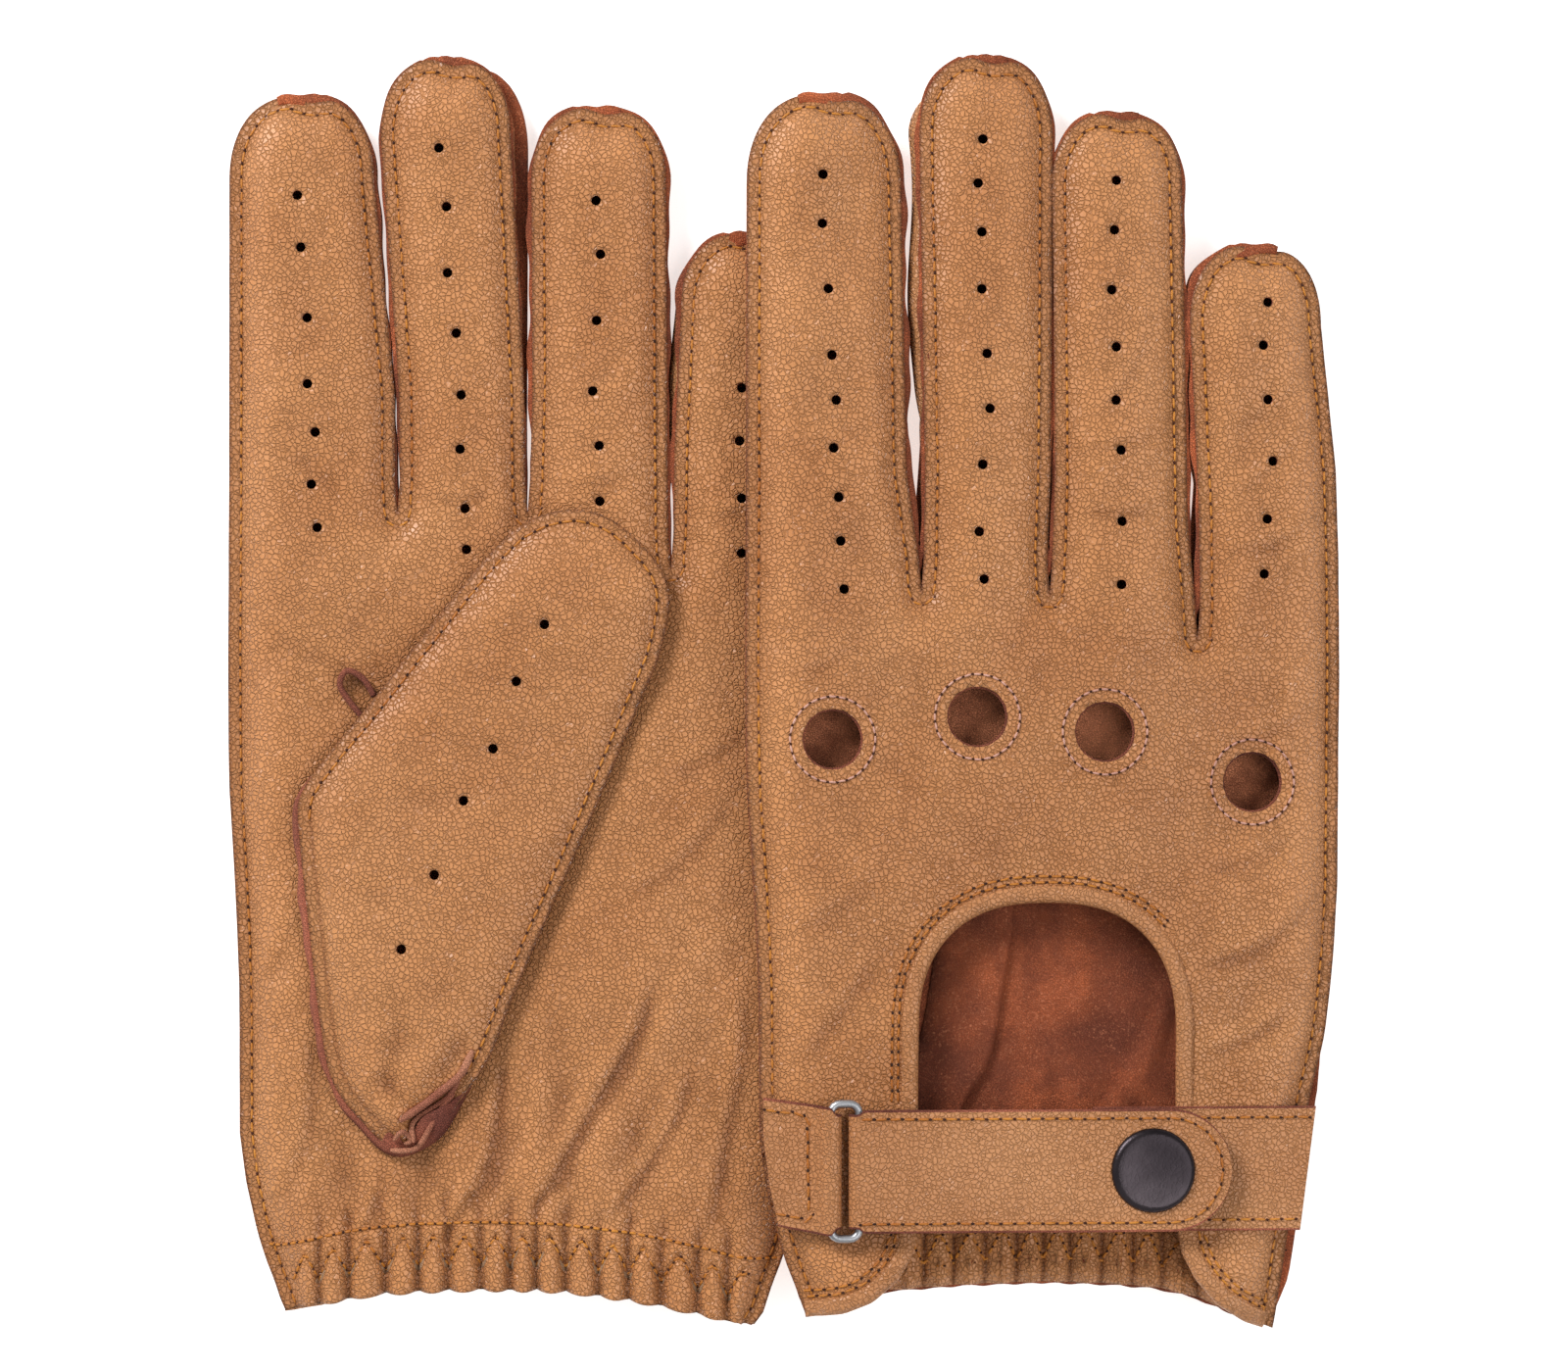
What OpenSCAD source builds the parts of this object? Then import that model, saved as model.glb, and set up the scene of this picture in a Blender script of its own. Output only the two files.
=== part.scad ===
// Leather driving gloves, a pair laid one over the other. Millimetres.
// +X runs from the left-hand glove to the right-hand glove, +Y to the fingertips, +Z up.

/* [Glove] */
// Length of a glove from its cuff to the middle fingertip
glove_length = 231; // [180:1:285]
// Width of a glove across the knuckles
glove_width = 108; // [85:1:135]
// Thickness of the outer leather
leather = 0.8; // [0.5:0.1:1.1]
// Height of the hand from its seam to its outer face
hand_rise = 3.5; // [2.9:0.1:5]
// Height of the thumb from its seam to its outer face
thumb_rise = 2.5; // [2.1:0.1:4]
// Width of the seam allowance outside the swelling of the hand
seam_w = 2.5; // [1.5:0.1:3.5]
// How far the right glove lies over the left one
overlap = 13.4; // [8:0.2:16]

/* [Openings] */
// Diameter of a knuckle hole
knuckle_d = 11; // [8:0.5:14]
// Width of the opening on the back of the wrist
wrist_w = 48; // [38:1:56]
// Width of the binding round that opening
binding_w = 2.5; // [1.5:0.1:3.5]
// Width of the elastic inside the cuff
elastic_w = 6; // [4:0.5:9]

/* [Strap] */
// Width of the strap
strap_w = 22; // [17:0.5:25]
// Diameter of the snap cap
cap_d = 15.2; // [11:0.2:18]
// Diameter of the snap socket
socket_d = 9.6; // [8:0.2:12]
// Diameter of the stud knob
knob_d = 3.4; // [2.6:0.1:4.2]
// Width of the oval ring
ring_w = 6.6; // [6:0.1:12]
// Wire diameter of the oval ring
wire_d = 1.5; // [1:0.1:1.8]

/* [Hidden] */
gap = 0.05;
kx = glove_width / 108;
ky = glove_length / 231;
tan_colour = [0.72, 0.5, 0.32];
suede_colour = [0.5, 0.27, 0.2];
elastic_colour = [0.6, 0.5, 0.4];
steel_colour = [0.6, 0.6, 0.6];
cap_colour = [0.3, 0.29, 0.31];

// Seam levels: skins meet at the sides, and leave room for a fourchette between fingers
side_level = gap;
fork_level = 1.25;
fork_t = 0.6;

// Levels of the strap parts above the back of the glove
base_z = hand_rise + gap;
base_top = base_z + leather;
flange_z = base_top + gap;
flange_top = flange_z + 0.4;
loop_in = wire_d / 2 + 0.3;
loop_out = loop_in + leather;
bar_z = hand_rise + loop_out + 0.35;
strap_z = bar_z + loop_in;
strap_top = strap_z + leather;
socket_z = flange_top + 0.3;
socket_top = strap_z - gap;
socket_roof = socket_top - 0.4;
knob_top = socket_roof - 0.3;
cap_z = strap_top + gap;
cap_top = cap_z + 1;
stack = cap_top;

// Plan positions of the strap parts
strap_y = 28.2 * ky;
ring_l = strap_w + 3.7;
bar_l = -39.4 * kx;
bar_r = bar_l + ring_w - wire_d;
corner_r = 2;
loop_w = ring_l - wire_d - 2 * corner_r - 1.2;
snap_x = wrist_w / 2 - 5.4;
tip_x = snap_x + 14.3;
base_x0 = snap_x - 10.6;
base_x1 = 46 * kx;
tab_x0 = -49 * kx;

// How the two gloves lie: the left on its strap and fingertips, the right on the left
glove_x = (glove_width - overlap) / 2;
origin_y = -115.25 * ky;
pitch = asin((stack - hand_rise) / (201 * ky));
left_z = stack * cos(pitch) + (28.2 * ky + cap_d / 2 - 1.5) * sin(pitch);
thumb_depth = hand_rise + gap + 2 * thumb_rise;
rest_x = glove_width - overlap - (glove_width / 2 - seam_w);
right_drop = left_z + 2 * hand_rise + 0.35 - thumb_depth - 134 * ky * sin(pitch);
roll = asin(right_drop / (rest_x + 26.3 * kx));
right_z = thumb_depth + 134 * ky * sin(pitch) + 26.3 * kx * sin(roll) + 0.1;

// Fingers from index to pinky: base left, base right, tip x, tip y, half width, tip length
fingers = [
  [-53.6, -23.2, -39.5, 222.8, 14.2, 17],
  [-21.8, 0, -11.8, 230.7, 12.6, 16],
  [1.4, 27.2, 14.1, 220, 11.5, 15],
  [28.6, 54, 38.9, 196, 12, 15]
];
// Bottoms of the slits between the fingers
slits = [[-22.5, 138], [0.7, 137], [27.9, 128]];
knuckles = [[-38.9, 105.7], [-12.7, 109.8], [10.5, 107.1], [37.7, 98]];
edge_y = [0, 6, 13, 22, 34, 52, 80, 126];

function half_w(y) = 54 - 10.5 * exp(-y / 22);
function scaled(p) = [for (q = p) [q[0] * kx, q[1] * ky]];
function arc_tip(f) = [
  for (i = [0 : 8])
  [f[2] - f[4] * cos(i * 22.5), f[3] - f[5] + f[5] * sin(i * 22.5)]
];
function finger(f, y0) = concat([[f[0], y0]], arc_tip(f), [[f[1], y0]]);

function palm_outline() = concat(
  [for (y = edge_y) [-half_w(y), y]],
  [[-53.6, 140], [-23.2, 140], slits[0], [-21.8, 140], [0, 139], slits[1]],
  [[1.4, 138], [27.2, 130], slits[2], [28.6, 130], [54, 126]],
  [for (i = [6 : -1 : 0]) [half_w(edge_y[i]), edge_y[i]]]
);

// Outline of the hand, carried past the cuff so that the cuff stays open
module hand_2d() {
  polygon(scaled(palm_outline()));
  for (f = fingers) polygon(scaled(finger(f, f[3] < 200 ? 122 : 130)));
  translate([-43.5 * kx, -12]) square([87 * kx, 12.01]);
}

module above_cuff() {
  intersection() {
    children();
    translate([-100, 0]) square([200, 400]);
  }
}

module inset(d) {
  above_cuff() offset(delta = -d) hand_2d();
}

module band(a, b) {
  above_cuff() difference() {
    offset(delta = -a) hand_2d();
    offset(delta = -b) hand_2d();
  }
}

// The area round one slit, from one finger's centre line to the next
module slit_area(i) {
  f = fingers[i];
  g = fingers[i + 1];
  y0 = slits[i][1] - 5;
  a = (f[0] + f[1]) / 2 + 3;
  b = (g[0] + g[1]) / 2 - 3;
  polygon(scaled([[a, y0], [b, y0], [g[2] - 3, g[3] - 2], [g[2] - 3, 245],
    [f[2] + 3, 245], [f[2] + 3, f[3] - 2]]));
}

module slit_areas() {
  for (i = [0 : 2]) slit_area(i);
}

module layer(z0, z1) {
  translate([0, 0, z0]) linear_extrude(height = z1 - z0) children();
}

// The raised face of one skin of the hand
module skin_face() {
  layer(hand_rise - leather, hand_rise) inset(seam_w);
}

// The side wall under that face and the flat seam allowance round it
module skin_edge() {
  wall = seam_w + leather;
  top = hand_rise - leather - gap;
  layer(side_level, top) difference() {
    band(seam_w, wall);
    slit_areas();
  }
  layer(side_level, side_level + leather) difference() {
    band(0, wall);
    slit_areas();
  }
  layer(fork_level, top) intersection() {
    band(seam_w, wall);
    slit_areas();
  }
  layer(fork_level, fork_level + leather) intersection() {
    band(0, wall);
    slit_areas();
  }
}

// The opening on the back of the wrist, wider towards the cuff
module wrist_2d() {
  r = wrist_w / 2;
  translate([0, 53 * ky]) circle(r = r, $fn = 48);
  translate([-r, -1]) square([2 * r, 53 * ky + 1]);
  polygon([[-r - 15 * kx, -1], [-r - 8 * kx, 6 * ky], [-r - 2 * kx, 12 * ky], [-r, 17 * ky],
    [r, 17 * ky], [r + 2 * kx, 12 * ky], [r + 8 * kx, 6 * ky], [r + 15 * kx, -1]]);
}

module back_panel() {
  difference() {
    skin_face();
    translate([0, 0, -1]) linear_extrude(height = 10) wrist_2d();
    for (k = scaled(knuckles)) translate([k[0], k[1], -1]) cylinder(d = knuckle_d, h = 10);
  }
}

module thumb_hole_2d() {
  polygon(scaled([[-27, 47], [-15, 52], [-19, 86], [-31, 82]]));
}

// Sides and seam allowance of the back
module back_edge() {
  difference() {
    skin_edge();
    translate([0, 0, -1]) linear_extrude(height = 10) wrist_2d();
  }
}

module palm_panel() {
  mirror([0, 0, 1]) difference() {
    skin_face();
    translate([0, 0, -1]) linear_extrude(height = 10) thumb_hole_2d();
  }
}

// Sides and seam allowance of the palm
module palm_edge() {
  mirror([0, 0, 1]) skin_edge();
}

// A strip sewn between two fingers, with one flange to the back and one to the palm
module fourchette(i) {
  z = fork_level - gap;
  wall = seam_w + fork_t;
  for (s = [0, 1]) mirror([0, 0, s]) layer(z - fork_t, z) intersection() {
    band(0, wall);
    slit_area(i);
  }
  layer(-z, z) intersection() {
    band(seam_w, wall);
    slit_area(i);
  }
}

module thumb_2d() {
  polygon(scaled([[-21.6, 30.7], [-33.5, 42.9], [-36, 60.7], [-37.8, 78.6], [-38.6, 95.5],
    [-4.6, 142], [3, 146.6], [11.4, 147.3], [20, 142], [26.3, 133.9], [25.6, 124],
    [20.4, 110.7], [11.4, 89.3], [-1.1, 60.7], [-12, 41]]));
}

module thumb_skin() {
  wall = seam_w + leather;
  layer(thumb_rise - leather, thumb_rise) offset(delta = -seam_w) thumb_2d();
  layer(side_level, thumb_rise) difference() {
    offset(delta = -seam_w) thumb_2d();
    offset(delta = -wall) thumb_2d();
  }
  layer(side_level, side_level + leather) difference() {
    thumb_2d();
    offset(delta = -wall) thumb_2d();
  }
}

module at_thumb() {
  translate([0, 0, -hand_rise - gap - thumb_rise]) children();
}

// The side of the thumb that faces away from the palm
module thumb_front() {
  at_thumb() mirror([0, 0, 1]) thumb_skin();
}

// The side of the thumb sewn to the palm, open into the hand
module thumb_back() {
  at_thumb() difference() {
    thumb_skin();
    translate([0, 0, -1]) linear_extrude(height = 10) thumb_hole_2d();
  }
}

// Binding with one leg on the back panel and one down its cut edge
module wrist_binding() {
  layer(hand_rise + gap, hand_rise + 0.65) above_cuff() difference() {
    offset(delta = binding_w - 0.7) wrist_2d();
    offset(delta = -0.65) wrist_2d();
    translate([-70, 16 * ky]) square([140, 24.8 * ky]);
  }
  layer(hand_rise - leather, hand_rise + 0.65) above_cuff() difference() {
    offset(delta = -gap) wrist_2d();
    offset(delta = -0.65) wrist_2d();
    translate([-70, 16 * ky]) square([140, 24.8 * ky]);
  }
  layer(hand_rise - leather, hand_rise - gap) above_cuff() difference() {
    offset(delta = -gap) wrist_2d();
    offset(delta = -0.65) wrist_2d();
  }
}

module knuckle_facings() {
  z = hand_rise - leather - gap - 0.5;
  for (k = scaled(knuckles)) translate([k[0], k[1], z]) difference() {
    cylinder(d = knuckle_d + 6, h = 0.5);
    translate([0, 0, -1]) cylinder(d = knuckle_d - 0.6, h = 3);
  }
}

module cuff_elastic() {
  translate([-38 * kx, 12 * ky - elastic_w / 2, -hand_rise + leather + gap])
    cube([76 * kx, elastic_w, 0.5]);
}

// Side view of a leather loop round a bar, with its tail towards +X
module loop_2d(tail_z, tail_l) {
  difference() {
    union() {
      circle(r = loop_out);
      translate([0, tail_z]) square([tail_l, leather]);
    }
    circle(r = loop_in);
  }
}

module along_y(x, z, w) {
  translate([x, strap_y + w / 2, z]) rotate([90, 0, 0]) linear_extrude(height = w) children();
}

// Tab that holds the ring, sewn flat to the back panel
module ring_tab() {
  along_y(bar_l, bar_z, loop_w) mirror([1, 0]) loop_2d(-loop_in / 2 - leather / 2, loop_out + 1);
  translate([tab_x0, strap_y - strap_w / 2, base_z])
    cube([bar_l - loop_out - 0.3 - tab_x0, strap_w, bar_z - loop_in / 2 + leather / 2 - base_z]);
}

module oval_ring() {
  wx = (ring_w - wire_d) / 2;
  wy = (ring_l - wire_d) / 2;
  r = wire_d / 2;
  translate([bar_l + wx, strap_y, bar_z]) {
    for (s = [-1, 1]) {
      translate([s * wx, -wy + corner_r, 0]) rotate([-90, 0, 0])
        cylinder(r = r, h = 2 * (wy - corner_r));
      translate([-wx + corner_r, s * wy, 0]) rotate([0, 90, 0])
        cylinder(r = r, h = 2 * (wx - corner_r));
    }
    for (q = [0 : 3]) {
      sx = (q == 0 || q == 3) ? 1 : -1;
      sy = q < 2 ? 1 : -1;
      translate([sx * (wx - corner_r), sy * (wy - corner_r), 0]) rotate([0, 0, q * 90])
        rotate_extrude(angle = 90) translate([corner_r, 0]) circle(r = r);
    }
  }
}

module strap() {
  r = strap_w / 2;
  along_y(bar_r, bar_z, loop_w) loop_2d(loop_in, 8);
  along_y(bar_r, bar_z, loop_w) loop_2d(loop_in - leather - gap, 12);
  difference() {
    translate([0, 0, strap_z]) linear_extrude(height = leather) union() {
      translate([bar_r + 4, strap_y - r]) square([tip_x - r - bar_r - 4, strap_w]);
      translate([tip_x - r, strap_y]) circle(r = r);
    }
    translate([snap_x, strap_y, strap_z - 1]) cylinder(d = 2.6, h = 4);
  }
}

// Tab on the thumb side of the opening that carries the stud
module strap_base() {
  difference() {
    translate([base_x0, strap_y - strap_w / 2, base_z])
      cube([base_x1 - base_x0, strap_w, leather]);
    translate([snap_x, strap_y, 0]) cylinder(d = 2.6, h = 9);
  }
}

module snap_stud() {
  translate([snap_x, strap_y, 0]) {
    translate([0, 0, base_z - gap - 0.5]) cylinder(d = 8, h = 0.5);
    translate([0, 0, base_z - gap - 0.1]) cylinder(d = 2.4, h = leather + 0.3);
    translate([0, 0, flange_z]) cylinder(d = 9, h = 0.4);
    translate([0, 0, flange_top - 0.1]) cylinder(d = knob_d, h = knob_top - flange_top + 0.1);
  }
}

module snap_cap() {
  translate([snap_x, strap_y, 0]) {
    translate([0, 0, cap_z]) cylinder(d = cap_d, h = 0.4);
    translate([0, 0, cap_z + 0.4]) cylinder(d1 = cap_d, d2 = cap_d - 3, h = 0.6);
    translate([0, 0, strap_z]) cylinder(d = 2.3, h = leather + gap + 0.1);
  }
}

module snap_socket() {
  translate([snap_x, strap_y, socket_z]) difference() {
    cylinder(d = socket_d, h = socket_top - socket_z);
    translate([0, 0, -1]) cylinder(d = knob_d + 0.8, h = 1 + socket_roof - socket_z);
  }
}

module place_left() {
  translate([-glove_x, origin_y, left_z]) rotate([-pitch, 0, 0]) mirror([0, 0, 1]) children();
}

module place_right() {
  translate([glove_x, origin_y, right_z]) rotate([-pitch, 0, 0]) rotate([0, roll, 0]) children();
}

module left_back_panel() { color(tan_colour) place_left() back_panel(); }
module left_back_edge() { color(tan_colour) place_left() back_edge(); }
module left_palm_panel() { color(tan_colour) place_left() palm_panel(); }
module left_palm_edge() { color(tan_colour) place_left() palm_edge(); }
module left_fourchette_1() { color(suede_colour) place_left() fourchette(0); }
module left_fourchette_2() { color(suede_colour) place_left() fourchette(1); }
module left_fourchette_3() { color(suede_colour) place_left() fourchette(2); }
module left_thumb_front() { color(tan_colour) place_left() thumb_front(); }
module left_thumb_back() { color(tan_colour) place_left() thumb_back(); }
module left_wrist_binding() { color(tan_colour) place_left() wrist_binding(); }
module left_knuckle_facings() { color(suede_colour) place_left() knuckle_facings(); }
module left_cuff_elastic() { color(elastic_colour) place_left() cuff_elastic(); }
module left_ring_tab() { color(tan_colour) place_left() ring_tab(); }
module left_strap_base() { color(tan_colour) place_left() strap_base(); }
module left_snap_stud() { color(steel_colour) place_left() snap_stud(); }
module left_oval_ring() { color(steel_colour) place_left() oval_ring(); }
module left_strap() { color(tan_colour) place_left() strap(); }
module left_snap_cap() { color(cap_colour) place_left() snap_cap(); }
module left_snap_socket() { color(steel_colour) place_left() snap_socket(); }
module right_back_panel() { color(tan_colour) place_right() back_panel(); }
module right_back_edge() { color(tan_colour) place_right() back_edge(); }
module right_palm_panel() { color(tan_colour) place_right() palm_panel(); }
module right_palm_edge() { color(tan_colour) place_right() palm_edge(); }
module right_fourchette_1() { color(suede_colour) place_right() fourchette(0); }
module right_fourchette_2() { color(suede_colour) place_right() fourchette(1); }
module right_fourchette_3() { color(suede_colour) place_right() fourchette(2); }
module right_thumb_front() { color(tan_colour) place_right() thumb_front(); }
module right_thumb_back() { color(tan_colour) place_right() thumb_back(); }
module right_wrist_binding() { color(tan_colour) place_right() wrist_binding(); }
module right_knuckle_facings() { color(suede_colour) place_right() knuckle_facings(); }
module right_cuff_elastic() { color(elastic_colour) place_right() cuff_elastic(); }
module right_ring_tab() { color(tan_colour) place_right() ring_tab(); }
module right_strap_base() { color(tan_colour) place_right() strap_base(); }
module right_snap_stud() { color(steel_colour) place_right() snap_stud(); }
module right_oval_ring() { color(steel_colour) place_right() oval_ring(); }
module right_strap() { color(tan_colour) place_right() strap(); }
module right_snap_cap() { color(cap_colour) place_right() snap_cap(); }
module right_snap_socket() { color(steel_colour) place_right() snap_socket(); }

left_back_panel();
left_back_edge();
left_palm_panel();
left_palm_edge();
left_fourchette_1();
left_fourchette_2();
left_fourchette_3();
left_thumb_front();
left_thumb_back();
left_wrist_binding();
left_knuckle_facings();
left_cuff_elastic();
left_ring_tab();
left_strap_base();
left_snap_stud();
left_oval_ring();
left_strap();
left_snap_cap();
left_snap_socket();
right_back_panel();
right_back_edge();
right_palm_panel();
right_palm_edge();
right_fourchette_1();
right_fourchette_2();
right_fourchette_3();
right_thumb_front();
right_thumb_back();
right_wrist_binding();
right_knuckle_facings();
right_cuff_elastic();
right_ring_tab();
right_strap_base();
right_snap_stud();
right_oval_ring();
right_strap();
right_snap_cap();
right_snap_socket();
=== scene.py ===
"""Leather driving gloves, a laid pair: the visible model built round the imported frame."""

import logging
import math
from dataclasses import dataclass, field
from enum import Enum
from typing import Callable, Dict, List, Optional, Sequence, Tuple

import bmesh
import bpy
import numpy as np
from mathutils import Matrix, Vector, geometry, kdtree


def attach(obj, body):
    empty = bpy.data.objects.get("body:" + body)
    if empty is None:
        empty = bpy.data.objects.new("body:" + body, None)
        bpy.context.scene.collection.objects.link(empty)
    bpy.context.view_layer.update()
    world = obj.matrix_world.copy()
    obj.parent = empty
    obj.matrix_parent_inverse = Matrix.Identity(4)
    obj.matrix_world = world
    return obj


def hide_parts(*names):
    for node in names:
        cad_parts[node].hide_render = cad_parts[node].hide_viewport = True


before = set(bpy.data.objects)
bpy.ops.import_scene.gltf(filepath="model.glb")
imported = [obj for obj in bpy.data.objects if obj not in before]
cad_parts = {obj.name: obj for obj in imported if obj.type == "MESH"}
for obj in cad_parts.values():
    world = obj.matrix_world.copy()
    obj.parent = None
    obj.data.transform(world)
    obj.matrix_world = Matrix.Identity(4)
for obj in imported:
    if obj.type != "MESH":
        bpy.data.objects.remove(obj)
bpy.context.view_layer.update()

logging.basicConfig(level=logging.INFO, format="%(message)s")
LOG = logging.getLogger("gloves")

MM = 0.001
Array = np.ndarray
Colour = Tuple[float, float, float]
Socket = bpy.types.NodeSocket

# Sizes shared with the CAD, in millimetres
HAND_RISE = 3.5
LEATHER = 0.8
GAP = 0.05
THUMB_RISE = 2.5
SEAM_W = 2.5
WIDTH = 108.0
OVERLAP = 13.4
ORIGIN_Y = -115.25
WIRE_D = 1.5
RING_W = 6.6
STRAP_W = 22.0
STRAP_Y = 28.2
BAR_L = -39.4
BAR_R = BAR_L + RING_W - WIRE_D
LOOP_IN = WIRE_D / 2 + 0.3
LOOP_OUT = LOOP_IN + LEATHER
LOOP_MID = (LOOP_IN + LOOP_OUT) / 2
BAR_Z = HAND_RISE + LOOP_OUT + 0.35
STRAP_Z = BAR_Z + LOOP_IN
CAP_Z = STRAP_Z + LEATHER + GAP
STACK = CAP_Z + 1.0
BASE_Z = HAND_RISE + GAP
SNAP_X = 18.6
CAP_R = 7.6
TIP_X = 32.9
THUMB_MID = HAND_RISE + GAP + THUMB_RISE

# How the gloves lie: the left on its cap and fingertips, the right on the left's edge and its thumb
GLOVE_X = (WIDTH - OVERLAP) / 2
CAP_TO_TIPS = 201.0
THUMB_REST_X = 26.3
THUMB_REST_Y = 134.0
PITCH = math.asin((STACK - HAND_RISE) / CAP_TO_TIPS)
LEFT_Z = STACK * math.cos(PITCH) + (STRAP_Y + CAP_R - 1.5) * math.sin(PITCH)
THUMB_DEPTH = HAND_RISE + GAP + 2 * THUMB_RISE
THUMB_DROP = THUMB_REST_Y * math.sin(PITCH)
REST_X = WIDTH - OVERLAP - (WIDTH / 2 - SEAM_W)
RIGHT_DROP = LEFT_Z + 2 * HAND_RISE + 0.35 - THUMB_DEPTH - THUMB_DROP
ROLL = math.asin(RIGHT_DROP / (REST_X + THUMB_REST_X))
RIGHT_Z = THUMB_DEPTH + THUMB_DROP + THUMB_REST_X * math.sin(ROLL) + 0.1

# Stitching: pitch, and how far the seam's row runs inside the edge
STITCH_PITCH = 2.5
STITCH_INSET = 2.3


class Side(Enum):
    """Which glove of the pair."""

    LEFT = "left"
    RIGHT = "right"


class Tag(Enum):
    """What an edge of a hand panel is sewn to."""

    SEAM = 0
    FORK = 1
    OPEN = 2


def smooth(t: Array) -> Array:
    """Smoothstep of t clipped to 0..1."""
    t = np.clip(t, 0.0, 1.0)
    return t * t * (3 - 2 * t)

def bell(t: Array) -> Array:
    """A bump of height 1 at t = 0 that has faded by t = 2."""
    return np.exp(-(t**2))


def waves(x: Array, y: Array, scale: float, seed: int, n: int = 9) -> Array:
    """A smooth repeatable noise of about unit size.

    Args:
        x, y: positions in millimetres.
        scale: typical wavelength in millimetres.
        seed: the random seed.
        n: how many waves are summed.

    Returns:
        One value per position.
    """
    rng = np.random.default_rng(seed)
    out = np.zeros_like(np.asarray(x, float))
    for _ in range(n):
        a = rng.uniform(0, math.tau)
        k = math.tau / (scale * rng.uniform(0.7, 1.6))
        out = out + np.sin(k * (x * math.cos(a) + y * math.sin(a)) + rng.uniform(0, math.tau))
    return out / math.sqrt(n / 2) * 0.6


# ------------------------------------------------------------------ outlines


@dataclass(frozen=True)
class Finger:
    """Plan shape of one finger of a panel, in glove millimetres."""

    name: str
    base_left: float
    base_right: float
    tip_x: float
    tip_y: float
    half: float
    tip_len: float


RIGHT_FINGERS = (
    Finger("index", -54.3, -25.2, -40.2, 223.1, 14.0, 17),
    Finger("middle", -22.0, 1.1, -10.6, 230.6, 12.2, 15),
    Finger("ring", 1.7, 26.3, 13.4, 220.4, 11.9, 14),
    Finger("pinky", 28.2, 54.2, 38.9, 196.4, 12.2, 15),
)
LEFT_FINGERS = (
    Finger("index", -54.3, -23.8, -41.0, 223.8, 13.3, 16),
    Finger("middle", -23.2, -0.1, -14.6, 230.6, 11.9, 15),
    Finger("ring", 1.2, 26.1, 13.4, 221.6, 12.3, 14),
    Finger("pinky", 27.2, 54.0, 40.9, 198.6, 12.4, 14),
)
BACK_SLITS = ((-22.6, 132.5), (0.8, 132.0), (28.0, 124.0))
PALM_SLITS = ((-23.4, 147.0), (0.4, 147.0), (26.6, 137.0))
FORK_SLITS = ((-22.9, 139.0), (0.7, 138.5), (27.3, 129.5))
# The sides of a hand: y and half width, on the thumb side and on the outer side
SIDE_A = (
    (-2, 42.6), (1.8, 43.6), (7, 45.3), (11, 46.9), (16, 48.5), (25, 50.6), (34, 51.8), (52, 51.9),
    (61, 52.0), (70, 52.4), (79, 52.9), (88, 53.5), (96, 54.1), (105, 54.3), (115, 54.4), (124, 54.4),
    (140, 54.3),
)  # fmt: skip
SIDE_B = (
    (-2, 41.0), (1, 41.8), (4, 42.5), (8, 43.6), (17, 45.0), (26, 46.4), (35, 47.9), (44, 49.6),
    (52.5, 51.2), (61.5, 52.3), (70.5, 53.1), (79.5, 53.7), (97, 54.1), (115, 54.4), (133, 54.4),
    (142, 54.1),
)  # fmt: skip
KNUCKLES = ((-38.9, 105.7), (-12.7, 109.8), (10.5, 107.1), (37.7, 98.0))
KNUCKLE_R = 5.5
# The wrist opening: half width, height of the arch's spring, the shape of its top and its lower ends
OPEN_R = 24.0
ARCH_Y = 52.3
ARCH_POWER = 2 / 2.45
ARCH_RIGHT = ((41.4, -1.0), (36, 1.0), (31, 4.2), (27.2, 8.6), (25.0, 13), (24, 19))
ARCH_LEFT = ((-24, 19), (-25.0, 13), (-27.6, 8.8), (-32, 5.0), (-37, 3.0), (-43.6, 2.2))
# The palm's lower edge from left to right, right glove and left glove
HEM_RIGHT = (
    (-44, 2.2), (-38, 3.4), (-33, 4.6), (-28, 5.7), (-15, 6.6), (0, 7.0), (12, 6.6), (21, 5.8), (28.4, 4.0),
    (33, 1.8), (37, 0.5), (42, 0.6),
)  # fmt: skip
HEM_LEFT = (
    (-44, 1.6), (-39.3, 2.5), (-34.3, 3.7), (-28, 4.8), (-20, 5.5), (-8, 5.9), (4, 5.7), (11, 5.1),
    (20.4, 3.8), (27.9, 2.3), (33.9, 0.9), (38, -0.4), (42, -0.9),
)  # fmt: skip

def side_x(y: Array, outer: bool, vent: float = 0.0) -> Array:
    """Half the width of the hand at y, on its outer side or its thumb side.

    Args:
        y: positions along the glove.
        outer: True for the outer side, which tapers to the wrist vent.
        vent: how far this panel's edge stands out at the vent.

    Returns:
        The half widths.
    """
    y = np.asarray(y, float)
    table = np.array(SIDE_B if outer else SIDE_A)
    open_part = smooth((y - 1) / 8) * smooth((53 - y) / 14)
    return np.interp(y, table[:, 0], table[:, 1]) + vent * open_part


def resample(points: Sequence, step: float) -> Array:
    """Points along a polyline at an even step, both ends kept.

    Args:
        points: the polyline.
        step: the spacing wanted.

    Returns:
        The new points.
    """
    p = np.asarray(points, float)
    s = np.concatenate([[0], np.cumsum(np.linalg.norm(np.diff(p, axis=0), axis=1))])
    t = np.linspace(0, s[-1], max(1, int(round(s[-1] / step))) + 1)
    return np.stack([np.interp(t, s, p[:, i]) for i in range(p.shape[1])], axis=1)


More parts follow.
